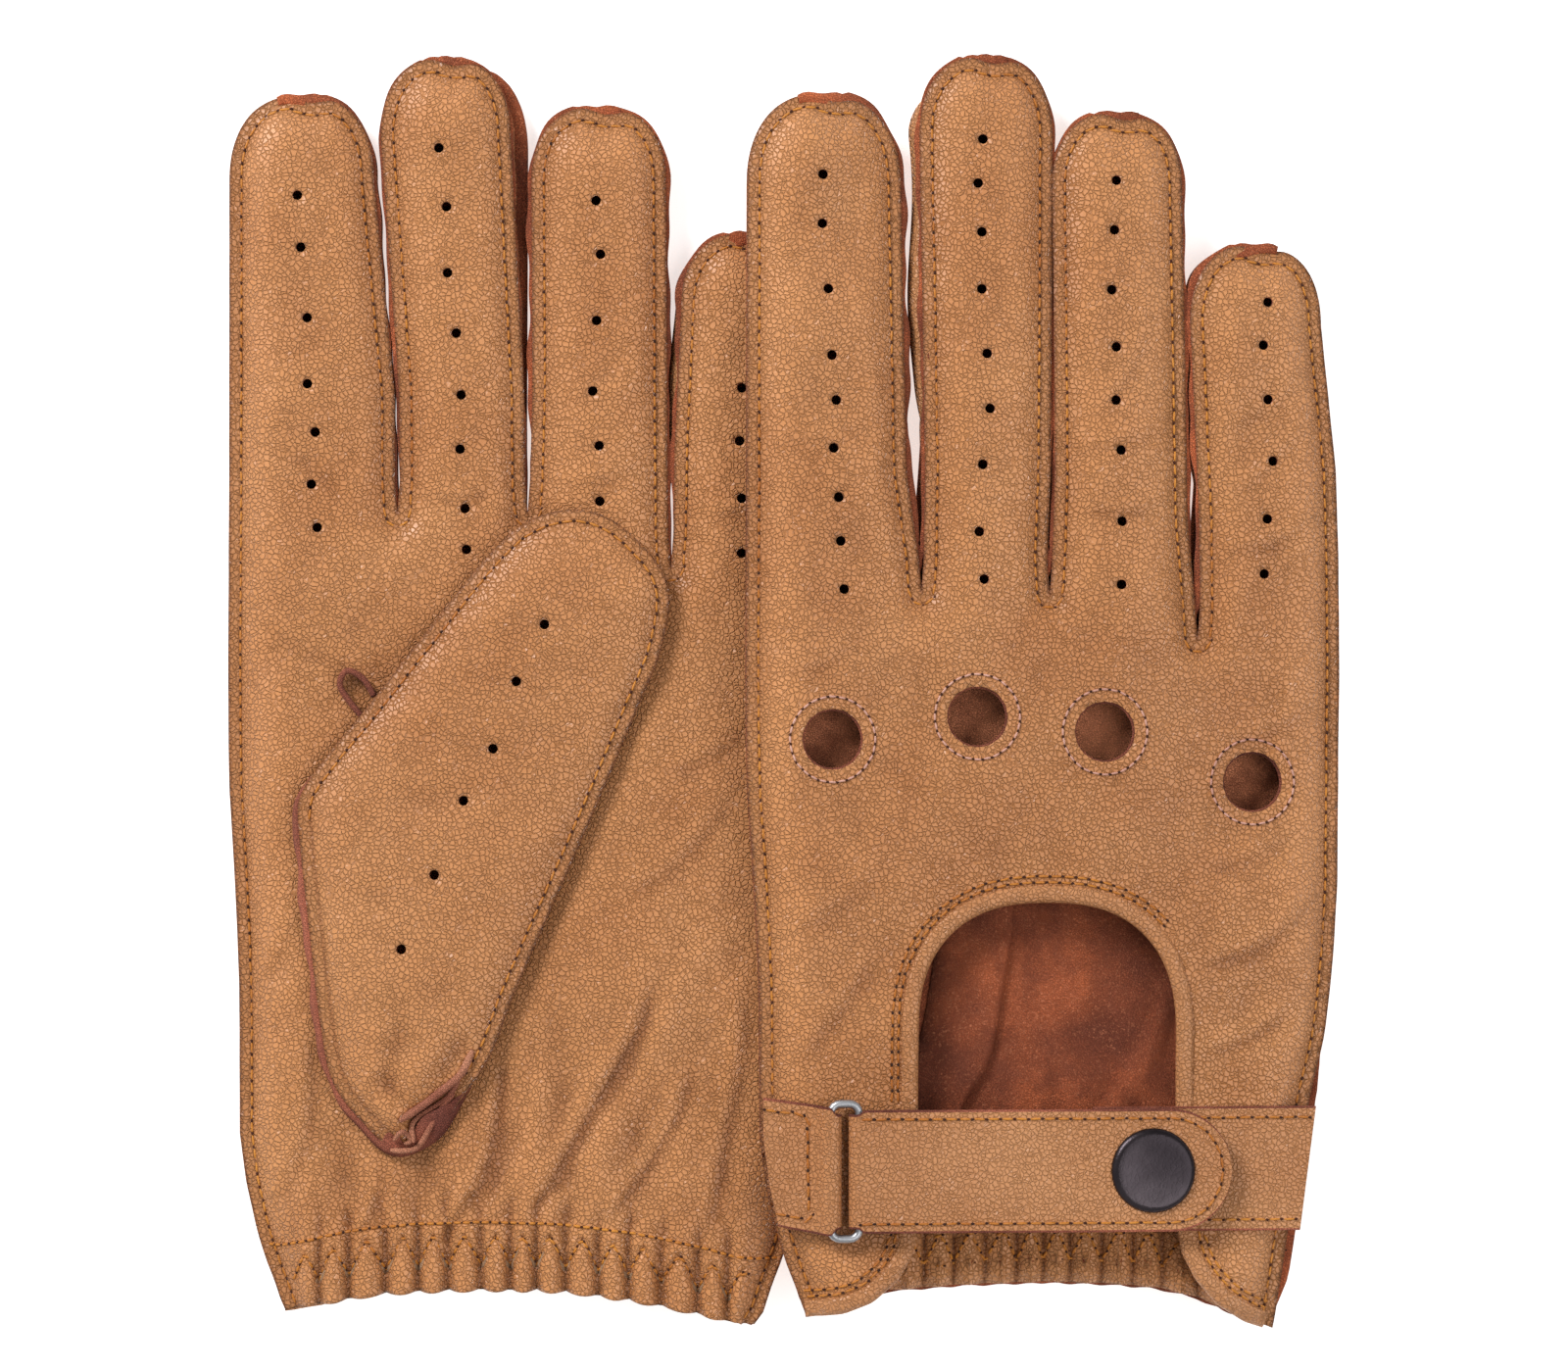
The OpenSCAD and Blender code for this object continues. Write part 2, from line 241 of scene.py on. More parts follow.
def spline(points: Sequence, closed: bool = True, n: int = 10) -> Array:
    """A Catmull-Rom curve through the points.

    Args:
        points: the knots.
        closed: True if the last knot joins the first.
        n: how many points each span gets.

    Returns:
        The curve's points.
    """
    p = np.asarray(points, float)
    m = len(p)
    out = []
    for i in range(m if closed else m - 1):
        knots = [(i + k) % m if closed else min(max(i + k, 0), m - 1) for k in (-1, 0, 1, 2)]
        a, b, c, d = p[knots]
        for t in np.arange(n) / n:
            cube = (3 * b - a - 3 * c + d) * t**3
            out.append(0.5 * (2 * b + (c - a) * t + (2 * a - 5 * b + 4 * c - d) * t**2 + cube))
    if not closed:
        out.append(p[-1])
    return np.array(out)


def finger_tip(f: Finger, notch: float = 0.0) -> List[Tuple[float, float]]:
    """The rounded end of a finger, from its left side to its right.

    Args:
        f: the finger.
        notch: how deep the seam's gather bites into the tip, in millimetres.

    Returns:
        The tip's points.
    """
    a = np.linspace(math.pi, 0, 65 if notch else 33)
    power = 0.86
    cx, sy = np.cos(a), np.sin(a)
    x = f.tip_x + f.half * np.sign(cx) * np.abs(cx) ** power
    y = f.tip_y - f.tip_len + f.tip_len * np.abs(sy) ** power
    return list(zip(x, y - notch * bell((x - f.tip_x - 0.12 * f.half) / 3.2)))


@dataclass
class Outline:
    """A closed outline with the kind of each of its pieces.

    Args:
        step: spacing of the points in millimetres.
    """

    step: float = 0.9
    points: List = field(default_factory=list)
    tags: List = field(default_factory=list)

    def add(self, piece: Sequence, tag: Tag) -> None:
        """Adds a piece that starts where the last one ended."""
        p = resample(piece, self.step)
        self.points.extend(p[:-1].tolist())
        self.tags.extend([tag] * (len(p) - 1))

    def array(self) -> Array:
        """The points as an array."""
        return np.array(self.points)


def hand_outline(
    fingers: Sequence[Finger], slits: Sequence, cuff: Sequence, outer: bool, vent: float
) -> Outline:
    """The outline of a back or palm panel.

    Args:
        fingers: the four fingers.
        slits: the bottom of each slit between fingers.
        cuff: the lower edge, from its right end to its left end.
        outer: True if the right-hand side tapers to the wrist vent.
        vent: how far the panel's edge stands out at that vent.

    Returns:
        The outline, going up the left side first.
    """
    out = Outline()
    ys = np.linspace(cuff[-1][1], 128, 60)
    first = fingers[0]
    left = list(zip(-side_x(ys, False), ys))
    left[0] = tuple(cuff[-1])
    left += [(first.base_left, 150), (first.tip_x - first.half, first.tip_y - first.tip_len)]
    out.add(left, Tag.SEAM)
    for i, f in enumerate(fingers):
        tip = finger_tip(f, 1.5)
        mid = len(tip) // 2
        out.add(tip[: mid + 1], Tag.SEAM if i == 0 else Tag.FORK)
        out.add(tip[mid:], Tag.SEAM if i == 3 else Tag.FORK)
        if i == 3:
            break
        g = fingers[i + 1]
        sx, sy = slits[i]
        out.add([tip[-1], (f.base_right - 0.1, sy + 22), (sx - 0.45, sy + 6), (sx, sy)], Tag.FORK)
        g0 = (g.tip_x - g.half, g.tip_y - g.tip_len)
        out.add([(sx, sy), (sx + 0.45, sy + 6), (g.base_left + 0.1, sy + 22), g0], Tag.FORK)
    last = fingers[3]
    ys = np.linspace(128, cuff[0][1], 60)
    right = [(last.tip_x + last.half, last.tip_y - last.tip_len), (last.tip_x + last.half + 1.2, 170)]
    right += [(last.base_right - 0.4, 155), (last.base_right, 142)]
    right += list(zip(side_x(ys, outer, vent), ys))
    right[-1] = tuple(cuff[0])
    out.add(right, Tag.SEAM)
    out.add(cuff, Tag.OPEN)
    return out


def arch() -> List[Tuple[float, float]]:
    """The edge of the wrist opening, from its right lower end to its left.

    Returns:
        The edge's points.
    """
    top = []
    for t in np.linspace(0, math.pi, 61):
        across = math.copysign(abs(math.cos(t)) ** ARCH_POWER, math.cos(t))
        top.append((OPEN_R * across, ARCH_Y + (OPEN_R + 0.5) * math.sin(t) ** ARCH_POWER))
    return [*ARCH_RIGHT, *top, *ARCH_LEFT]


def hem_y(x: Array, outer: bool) -> Array:
    """The lower edge of the palm's hem at x."""
    line = np.array(HEM_RIGHT if outer else HEM_LEFT)
    return np.interp(x, line[:, 0], line[:, 1])


def pleat_phase(x: Array) -> Array:
    """The phase of the cuff's pleats; the zigzag's points follow it."""
    return math.tau * x / 5.6 + 0.8 * np.sin(x / 8.0) + 0.35 * np.sin(x / 2.9)


def zig_v(x: Array, shift: float = 0.0) -> Array:
    """The zigzag stitch's height over the hem: high on each pleat, low in each furrow."""
    u = np.abs(((pleat_phase(x) / math.tau + shift) % 1.0) * 2 - 1)
    return 4.0 + 6.0 * u**0.85


def palm_cuff(outer: bool) -> List[Tuple[float, float]]:
    """The scalloped hem of the palm.

    Args:
        outer: True for the glove that tapers to the wrist vent.

    Returns:
        The hem's points from right to left.
    """
    x = np.linspace(41.4 if outer else 41.9, -43.4, 260)
    puff = np.abs(np.cos(pleat_phase(x) / 2)) * smooth((39 - np.abs(x)) / 6)
    return list(zip(x, hem_y(x, outer) - 0.55 * puff + 0.25))


THUMB = spline(
    [
        (-22.4, 31.0), (-29.2, 36.8), (-34.4, 44), (-36.7, 55), (-38.8, 72), (-40.6, 88), (-40.4, 95.5),
        (-35, 103.5), (-30, 109.5), (-17, 126), (-6, 139.5), (1.5, 145.6), (10.4, 147.4), (18.5, 143.8),
        (25.9, 134.5), (25.2, 123), (20.4, 110.7), (11.4, 89.3), (-1.1, 60.7), (-5.6, 49), (-11, 40.6),
        (-16.4, 34),
    ]
)  # fmt: skip

def inside(points: Array, poly: Array) -> Array:
    """Tells which points lie inside a polygon.

    Args:
        points: plan points.
        poly: the polygon's corners.

    Returns:
        True for each point inside.
    """
    x, y = points[:, 0], points[:, 1]
    hit = np.zeros(len(points), bool)
    for (x0, y0), (x1, y1) in zip(poly, np.roll(poly, -1, axis=0)):
        if y0 != y1:
            hit ^= ((y0 > y) != (y1 > y)) & (x < (x1 - x0) * (y - y0) / (y1 - y0) + x0)
    return hit


def stretches(line: Array, keep: Array) -> List[Tuple[Array, bool]]:
    """Splits a line where keep changes.

    Args:
        line: the line's points.
        keep: True or False for each point.

    Returns:
        Each stretch of the line with its own keep.
    """
    cuts = np.flatnonzero(np.diff(keep.astype(int))) + 1
    return [(q, bool(k[0])) for q, k in zip(np.split(line, cuts), np.split(keep, cuts))]


def beside(x: Array, y: Array, start: Sequence, end: Sequence) -> Tuple[Array, Array, float]:
    """Places points relative to a straight crease.

    Args:
        x, y: positions in millimetres.
        start, end: the crease's ends.

    Returns:
        The distance along the crease, the distance to its left, and its length.
    """
    ux, uy = end[0] - start[0], end[1] - start[1]
    size = math.hypot(ux, uy)
    along = ((x - start[0]) * ux + (y - start[1]) * uy) / size
    return along, ((x - start[0]) * -uy + (y - start[1]) * ux) / size, size


class Nearest:
    """Distance from any point to a set of sample points, with a value carried by each."""

    def __init__(self, samples: Array, values: Optional[Array] = None) -> None:
        """Sorts the samples.

        Args:
            samples: the sample points.
            values: one value per sample, or none.
        """
        self.values = np.zeros(len(samples)) if values is None else values
        self.tree = kdtree.KDTree(len(samples))
        for i, p in enumerate(samples):
            self.tree.insert((p[0], p[1], 0), i)
        self.tree.balance()

    def __call__(self, pts: Array) -> Tuple[Array, Array]:
        """Finds the nearest sample of each point.

        Args:
            pts: plan points.

        Returns:
            The distances and the nearest samples' values.
        """
        found = [self.tree.find((p[0], p[1], 0)) for p in pts]
        return np.array([f[2] for f in found]), self.values[[f[1] for f in found]]


@dataclass
class Plan:
    """A triangulated flat region: points, triangles and its outline.

    Args:
        outline: the closed outline.
        holes: circles (x, y, radius) that are cut out.
        grid: spacing of the inner points.
        fine: spacing of the inner points below fine_y.
    """

    outline: Array
    holes: Sequence[Tuple[float, float, float]] = ()
    grid: float = 1.35
    fine: float = 0.95
    fine_y: float = -1e9

    def build(self) -> Tuple[Array, Array]:
        """Returns the points (n, 2) and the triangles (m, 3)."""
        lo, hi = self.outline.min(0), self.outline.max(0)
        rows = []
        y, k = lo[1], 0
        while y < hi[1]:
            g = self.fine if y < self.fine_y else self.grid
            x = np.arange(lo[0] + (g / 2 if k % 2 else 0), hi[0], g)
            rows.append(np.stack([x, np.full_like(x, y)], 1))
            y += g * 0.87
            k += 1
        pts = np.concatenate(rows)
        near = Nearest(resample(np.vstack([self.outline, self.outline[:1]]), 0.45))
        d, _ = near(pts)
        pts = pts[inside(pts, self.outline) & (d > 0.5)]
        loops = [self.outline]
        for hx, hy, r in self.holes:
            n = 14 if r < 2 else 40
            a = np.arange(n) / n * math.tau
            loops.append(np.stack([hx + r * np.cos(a), hy + r * np.sin(a)], 1))
            pts = pts[np.hypot(pts[:, 0] - hx, pts[:, 1] - hy) > r + 0.35]
        verts, edges = [], []
        for loop in loops:
            s = len(verts)
            verts += [Vector((float(a), float(b))) for a, b in loop]
            edges += [(s + i, s + (i + 1) % len(loop)) for i in range(len(loop))]
        verts += [Vector((float(a), float(b))) for a, b in pts]
        v, _, f, _, _, _ = geometry.delaunay_2d_cdt(verts, edges, [], 0, 1e-4)
        v = np.array([(p.x, p.y) for p in v])
        f = np.array([t for t in f if len(t) == 3])
        c = v[f].mean(1)
        keep = inside(c, self.outline)
        for hx, hy, r in self.holes:
            keep &= np.hypot(c[:, 0] - hx, c[:, 1] - hy) > r * 0.985
        f = f[keep]
        a = v[f[:, 1]] - v[f[:, 0]]
        b = v[f[:, 2]] - v[f[:, 0]]
        area = a[:, 0] * b[:, 1] - a[:, 1] * b[:, 0]
        f[area < 0] = f[area < 0][:, ::-1]
        f = f[np.abs(area) > 1e-6]
        used = np.unique(f)
        remap = np.full(len(v), -1)
        remap[used] = np.arange(len(used))
        return v[used], remap[f]


def contour(xyz: Array, tris: Array, values: Array, level: float) -> List[Array]:
    """Lines on a triangulated surface where values equals level.

    Args:
        xyz: the surface points.
        tris: its triangles.
        values: one value per point.
        level: the value to follow.

    Returns:
        A list of polylines, longest first.
    """
    side = values > level
    links: Dict[Tuple[int, int], List[Tuple[int, int]]] = {}
    for t in tris[(side[tris].sum(1) % 3) != 0]:
        cut = []
        for i, j in ((t[0], t[1]), (t[1], t[2]), (t[2], t[0])):
            if side[i] != side[j]:
                cut.append((min(i, j), max(i, j)))
        links.setdefault(cut[0], []).append(cut[1])
        links.setdefault(cut[1], []).append(cut[0])
    lines, seen = [], set()
    ends = [k for k, n in links.items() if len(n) == 1]
    for start in ends + list(links):
        if start in seen:
            continue
        chain, here = [start], start
        seen.add(start)
        while True:
            nxt = [k for k in links[here] if k not in seen]
            if not nxt:
                break
            here = nxt[0]
            seen.add(here)
            chain.append(here)
        if len(links[chain[-1]]) == 2 and chain[0] in links[chain[-1]] and len(chain) > 3:
            chain.append(chain[0])
        pts = []
        for i, j in chain:
            t = (level - values[i]) / (values[j] - values[i])
            pts.append(xyz[i] * (1 - t) + xyz[j] * t)
        if len(pts) > 3:
            lines.append(np.array(pts))
    return sorted(lines, key=len, reverse=True)


# ------------------------------------------------------------------ materials

OPAQUE_WHITE = (1, 1, 1, 1)


def linear(r: float, g: float, b: float) -> Tuple[float, float, float, float]:
    """An 8-bit display colour as a linear one.

    Args:
        r, g, b: the display colour, 0 to 255.

    Returns:
        The linear colour with full alpha.
    """
    out = []
    for c in (r / 255, g / 255, b / 255):
        out.append(c / 12.92 if c <= 0.04045 else ((c + 0.055) / 1.055) ** 2.4)
    return (*out, 1.0)


@dataclass
class Bench:
    """Adds nodes to a tree and links them.

    Args:
        tree: the node tree.
    """

    tree: bpy.types.NodeTree

    def add(self, kind: str, inputs: Dict, **props: object) -> bpy.types.Node:
        """Adds a node.

        Args:
            kind: the node's type.
            inputs: a value or another node's socket for each input, by name or place.
            props: the node's own settings.

        Returns:
            The node.
        """
        node = self.tree.nodes.new(kind)
        for key, value in props.items():
            setattr(node, key, value)
        for key, value in inputs.items():
            if isinstance(value, Socket):
                self.tree.links.new(value, node.inputs[key])
            else:
                node.inputs[key].default_value = value
        return node

    def sum(self, operation: str, a: Socket, b: float = 0.0) -> Socket:
        """The result of a sum on a socket's value."""
        return self.add("ShaderNodeMath", {0: a, 1: b}, operation=operation).outputs[0]

    def vector(self, x: Socket, y: object = 0.0, z: object = 0.0) -> Socket:
        """A vector from its three parts."""
        return self.add("ShaderNodeCombineXYZ", {"X": x, "Y": y, "Z": z}).outputs[0]


@dataclass
class Paint(Bench):
    """A bench for a material, whose patterns read object coordinates."""

    def __post_init__(self) -> None:
        """Adds the coordinates."""
        self.coord = self.add("ShaderNodeTexCoord", {}).outputs["Object"]

    def noise(self, scale: float, detail: float, rough: float = 0.5) -> Socket:
        """Soft noise from 0 to 1."""
        sizes = {"Vector": self.coord, "Scale": scale, "Detail": detail, "Roughness": rough}
        return self.add("ShaderNodeTexNoise", sizes).outputs["Fac"]

    def mark(self, name: str) -> Socket:
        """A value that the piece's points carry."""
        return self.add("ShaderNodeAttribute", {}, attribute_name=name).outputs["Fac"]

    def remap(self, value: Socket, low: float, high: float, to_low: float, to_high: float) -> Socket:
        """A value carried from one range to another, and held inside it."""
        ends = {"From Min": low, "From Max": high, "To Min": to_low, "To Max": to_high}
        return self.add("ShaderNodeMapRange", {"Value": value, **ends}).outputs["Result"]

    def mix(self, share: object, a: object, b: object, kind: str = "MIX") -> Socket:
        """Two colours blended; the places are those of the node's colour sockets."""
        inputs = {0: share, 6: a, 7: b}
        return self.add("ShaderNodeMix", inputs, data_type="RGBA", blend_type=kind).outputs[2]

    def bump(self, height: Socket, strength: float, depth: float, below: Optional[Socket] = None) -> Socket:
        """A bumped normal on top of another."""
        inputs = {"Height": height, "Strength": strength, "Distance": depth}
        if below is not None:
            inputs["Normal"] = below
        return self.add("ShaderNodeBump", inputs).outputs["Normal"]


@dataclass(frozen=True)
class Finish:
    """A procedural finish.

    Args:
        name: the material's name.
        light, dark: the two colours that are mixed by large soft noise.
        rough: roughness.
        metal: metallic value.
        grain: spacing of the fine grain in millimetres, 0 for none.
        bump: strength of the grain.
        sheen: weight of the cloth-like sheen.
        seam: True if the finish follows the seam and fold values of the piece's points: painted shade near the seams
            and in the hollows of folds, and a painted highlight on their crests.
        crease: strength of the soft wrinkles.
        pore: how much darker the grain's valleys are.
        pale_speck_and_light: the pale colour of specks in the nap, and of painted light that brightens the nap by the
            piece's wear values.
    """

    name: str
    light: Colour
    dark: Colour
    rough: float
    metal: float = 0.0
    grain: float = 0.0
    bump: float = 0.2
    sheen: float = 0.0
    seam: bool = False
    crease: float = 0.0
    pore: float = 0.0
    pale_speck_and_light: Optional[Colour] = None

    def build(self) -> bpy.types.Material:
        """Makes the material once.

        Returns:
            The material.
        """
        old = bpy.data.materials.get(self.name)
        if old is not None:
            return old
        mat = bpy.data.materials.new(self.name)
        mat.use_nodes = True
        bsdf = mat.node_tree.nodes["Principled BSDF"]
        bsdf.inputs["Metallic"].default_value = self.metal
        if self.sheen:
            bsdf.inputs["Sheen Weight"].default_value = self.sheen
            bsdf.inputs["Sheen Roughness"].default_value = 0.6
            bsdf.inputs["Sheen Tint"].default_value = linear(*self.light)
        paint = Paint(mat.node_tree)
        colour = self.colour(paint)
        rough = paint.remap(paint.noise(260, 4), 0.3, 0.7, self.rough - 0.07, self.rough + 0.07)
        paint.tree.links.new(rough, bsdf.inputs["Roughness"])
        if self.grain:
            colour = self.relief(paint, colour, bsdf)
        paint.tree.links.new(colour, bsdf.inputs["Base Color"])
        return mat

    def shade(self, *share: float) -> Tuple[float, float, float, float]:
        """The dark colour with each of its parts turned down."""
        return linear(*(c * k for c, k in zip(self.dark, share)))

    def colour(self, paint: Paint) -> Socket:
        """Mixes the colour, with its painted shade, highlight and light, all but the grain's own darkening.

        Args:
            paint: the material's bench.

        Returns:
            The colour's socket.
        """
        dark = linear(*self.dark)
        broad = paint.remap(paint.noise(38, 3, 0.55), 0.34, 0.66, 0.0, 1.0)
        colour = paint.mix(broad, linear(*self.light), dark)
        fine = paint.remap(paint.noise(700, 3, 0.6), 0.3, 0.7, 0.0, 1.0)
        colour = paint.mix(0.2, colour, paint.mix(fine, (0.45, 0.4, 0.38, 1), OPAQUE_WHITE), "MULTIPLY")
        if self.seam:
            # Painted shade and highlight from the piece's seam and fold values: painted shade where the leather falls
            # to the seam; a dark line at the very edge, partly the cut edge's own darker colour and partly painted
            # shadow; painted shade in the groove of the stitch row; a painted highlight on the crests of folds and
            # painted shade in their hollows.
            edge, fold = paint.mark("seam"), paint.mark("fold")
            row = paint.sum("ABSOLUTE", paint.sum("SUBTRACT", edge, STITCH_INSET))
            line = self.shade(0.66, 0.56, 0.46)
            crest_highlight = linear(*(min(255, c * 1.12) for c in self.light))
            near = paint.remap(edge, 0.0, 4.0, 1.0, 0.0)
            for value, low, high, share, tone in (
                (near, 0.0, 1.0, 0.45, self.shade(0.86, 0.86, 0.86)),
                (edge, 0.75, 0.1, 0.75, line),
                (row, 0.55, 0.15, 0.42, line),
                (fold, -0.05, -0.8, 0.35, crest_highlight),
                (fold, 0.03, 1.0, 0.62, self.shade(0.62, 0.52, 0.42)),
            ):
                colour = paint.mix(paint.remap(value, low, high, 0.0, share), colour, tone)
        if self.pale_speck_and_light:
            # Painted light: the nap is painted paler by the piece's wear values, standing in for light on the flesh
            # side seen through the knuckle holes. The pale specks and the darker clouds are the nap's own colour.
            pale_and_lit = linear(*self.pale_speck_and_light)
            colour = paint.mix(paint.mark("pale_speck_and_light"), colour, pale_and_lit)
            speck = paint.remap(paint.noise(1900, 2, 0.7), 0.54, 0.68, 0.0, 0.4)
            colour = paint.mix(speck, colour, pale_and_lit)
            cloud = paint.remap(paint.noise(95, 5, 0.65), 0.42, 0.62, 0.0, 0.65)
            colour = paint.mix(cloud, colour, dark)
        return colour

    def relief(self, paint: Paint, colour: Socket, bsdf: bpy.types.Node) -> Socket:
        """Adds the grain's and the wrinkles' relief.

        Args:
            paint: the material's bench.
            colour: the colour so far.
            bsdf: the shader.

        Returns:
            The colour with darker pores.
        """
        drift = paint.add("ShaderNodeTexNoise", {"Vector": paint.coord, "Scale": 420}).outputs["Color"]
        small = paint.add("ShaderNodeVectorMath", {0: drift, "Scale": 0.0011}, operation="SCALE")
        warp = paint.add("ShaderNodeVectorMath", {0: paint.coord, 1: small.outputs[0]}, operation="ADD")
        sizes = {"Vector": warp.outputs[0], "Scale": 1000 / self.grain}
        cell = paint.add("ShaderNodeTexVoronoi", sizes, feature="DISTANCE_TO_EDGE")
        pebble = paint.remap(cell.outputs["Distance"], 0.0, 0.16, 0.0, 1.0)
        if self.pore:
            pit = (1 - self.pore, 1 - 1.15 * self.pore, 1 - 1.3 * self.pore, 1)
            colour = paint.mix(1.0, colour, paint.mix(pebble, pit, OPAQUE_WHITE), "MULTIPLY")
        normal = paint.bump(pebble, self.bump, 0.0003)
        if self.crease:
            stretch = paint.add("ShaderNodeMapping", {"Vector": paint.coord, "Scale": (1.0, 2.1, 1.0)})
            sizes = {"Vector": stretch.outputs["Vector"], "Scale": 60, "Detail": 4}
            ridge = paint.add("ShaderNodeTexNoise", sizes, noise_type="RIDGED_MULTIFRACTAL")
            normal = paint.bump(ridge.outputs["Fac"], self.crease, 0.0006, normal)
        paint.tree.links.new(normal, bsdf.inputs["Normal"])
        return colour


NAPPA = Finish("tan_nappa", (206, 142, 89), (192, 127, 76), 0.44, grain=0.85, bump=0.85, seam=True,
               crease=0.35, pore=0.13)  # fmt: skip
NAPPA_TRIM = Finish("tan_trim", (206, 144, 94), (192, 129, 80), 0.46, grain=0.8, bump=0.75, pore=0.11)
FLESH = Finish("flesh_side", (220, 116, 68), (116, 54, 32), 0.9, grain=0.4, bump=0.8, sheen=0.3,
               pore=0.25, pale_speck_and_light=(240, 152, 108))  # fmt: skip
RAW_EDGE = Finish("raw_edge", (190, 108, 80), (118, 58, 42), 0.85, grain=0.4, bump=0.7, pore=0.25)
PALE_EDGE = Finish("pale_edge", (226, 158, 122), (164, 94, 70), 0.8, grain=0.4, bump=0.7, pore=0.2)
THREAD = Finish("ochre_thread", (216, 142, 48), (178, 102, 26), 0.5, grain=0.3, bump=0.3)
ROSE_THREAD = Finish("rose_thread", (230, 180, 160), (200, 146, 128), 0.55, grain=0.3, bump=0.3)
# Painted shade: dark dots that stand for the shade inside each needle hole.
NEEDLE = Finish("needle_hole", (74, 32, 12), (50, 22, 10), 0.95)
GUNMETAL = Finish("gunmetal", (84, 76, 80), (46, 40, 44), 0.28, metal=0.9, grain=0.9, bump=0.05)
STEEL = Finish("ring_steel", (36, 34, 33), (19, 18, 18), 0.36, metal=1.0, grain=0.8, bump=0.04)
ELASTIC = Finish("woven_elastic", (186, 150, 116), (150, 116, 86), 0.85, grain=0.5, bump=0.6)
LEATHER_SET = (NAPPA, FLESH, RAW_EDGE)
TRIM_SET = (NAPPA_TRIM, FLESH, RAW_EDGE)


# ------------------------------------------------------------------ placing


@dataclass
class Glove:
    """One glove: takes glove coordinates (x, y, outward) to the row frame.

    Args:
        side: which glove.
    """

    side: Side

    @property
    def mirrored(self) -> bool:
        """True for the glove that lies palm up."""
        return self.side is Side.LEFT

    def body(self, part: str = "glove") -> str:
        """The CAD body that a part of this glove rides on."""
        return f"{self.side.value}_{part}"

    def sag(self, x: Array, y: Array) -> Array:
        """How far the soft leather sinks below the stiff frame, in millimetres."""
        under_y = y * math.sin(PITCH)
        if self.mirrored:
            clear = LEFT_Z - under_y - HAND_RISE
            return -0.6 * np.clip(clear, 0, 9) * smooth((y - 55) / 60)
        clear = np.clip(RIGHT_Z - under_y - x * math.sin(ROLL) - HAND_RISE, 0, 9)
        low = smooth((x - 14) / 36) * smooth((y - 62) / 50)
        tip = smooth((y - 172) / 60) * smooth((x + 44) / 16)
        return -clear * np.maximum(0.75 * low, 0.6 * tip)

    def row(self, p: Array, soft: bool = True) -> Array:
        """Points in the row frame, in metres.

        Args:
            p: points in glove millimetres.
            soft: True if the points sag with the leather.
        """
        p = np.asarray(p, float)
        x, y, z = p[:, 0], p[:, 1], p[:, 2]
        cp, sp = math.cos(PITCH), math.sin(PITCH)
        if self.mirrored:
            q = np.stack([x, y * cp - z * sp, -y * sp - z * cp], 1)
            q = q + np.array([-GLOVE_X, ORIGIN_Y, LEFT_Z])
        else:
            cr, sr = math.cos(ROLL), math.sin(ROLL)
            xr, zr = x * cr + z * sr, -x * sr + z * cr
            q = np.stack([xr, y * cp + zr * sp, -y * sp + zr * cp], 1)
            q = q + np.array([GLOVE_X, ORIGIN_Y, RIGHT_Z])
        if soft:
            q[:, 2] += self.sag(x, y)
        return q * MM


def make_mesh(
    name: str,
    verts: Array,
    faces: Sequence,
    materials: Sequence[Finish],
    face_slots: Optional[Sequence[int]] = None,
) -> bpy.types.Object:
    """A smooth-shaded mesh object at the origin.

    Args:
        name: the object's name.
        verts: points in metres.
        faces: index lists.
        materials: the finishes, in slot order.
        face_slots: the slot of each face.
    """
    me = bpy.data.meshes.new(name)
    me.from_pydata([tuple(map(float, v)) for v in verts], [], [tuple(map(int, f)) for f in faces])
    for m in materials:
        me.materials.append(m.build())
    if face_slots is not None:
        me.polygons.foreach_set("material_index", np.asarray(face_slots, np.int32))
    me.polygons.foreach_set("use_smooth", [True] * len(me.polygons))
    me.update()
    ob = bpy.data.objects.new(name, me)
    bpy.context.scene.collection.objects.link(ob)
    LOG.info("piece %s: %d faces", name, len(me.polygons))
    return ob


def bake(ob: bpy.types.Object) -> bpy.types.Object:
    """Turns an object's modifiers into plain mesh."""
    dg = bpy.context.evaluated_depsgraph_get()
    dg.update()
    me = bpy.data.meshes.new_from_object(ob.evaluated_get(dg))
    old = ob.data
    ob.modifiers.clear()
    ob.data = me
    bpy.data.meshes.remove(old)
    return ob


def thicken(ob: bpy.types.Object, t: float, offset: float = -1.0, rim: int = 2) -> bpy.types.Object:
    """Gives a sheet its thickness, with its inner side and rim in their own finishes.

    Args:
        ob: the sheet.
        t: thickness in millimetres.
        offset: -1 grows inwards, 0 both ways.
        rim: slot steps to the rim's finish; the inner side is one step on.
    """
    m = ob.modifiers.new("thick", "SOLIDIFY")
    m.thickness = t * MM
    m.offset = offset
    m.material_offset = 1 if rim else 0
    m.material_offset_rim = rim
    m.use_even_offset = False
    return bake(ob)


def relax(values: Array, tris: Array, rounds: int) -> Array:
    """Averages values with their neighbours on a triangulated surface."""
    e = np.vstack([tris[:, [0, 1]], tris[:, [1, 2]], tris[:, [2, 0]]])
    n = len(values)
    count = np.maximum(np.bincount(e[:, 0], minlength=n) + np.bincount(e[:, 1], minlength=n), 1)
    out = np.array(values, float).reshape(n, -1)
    for _ in range(rounds):
        for k in range(out.shape[1]):
            v = out[:, k]
            total = np.bincount(e[:, 0], v[e[:, 1]], n) + np.bincount(e[:, 1], v[e[:, 0]], n)
            out[:, k] = 0.4 * v + 0.6 * total / count
    return out.reshape(np.shape(values))


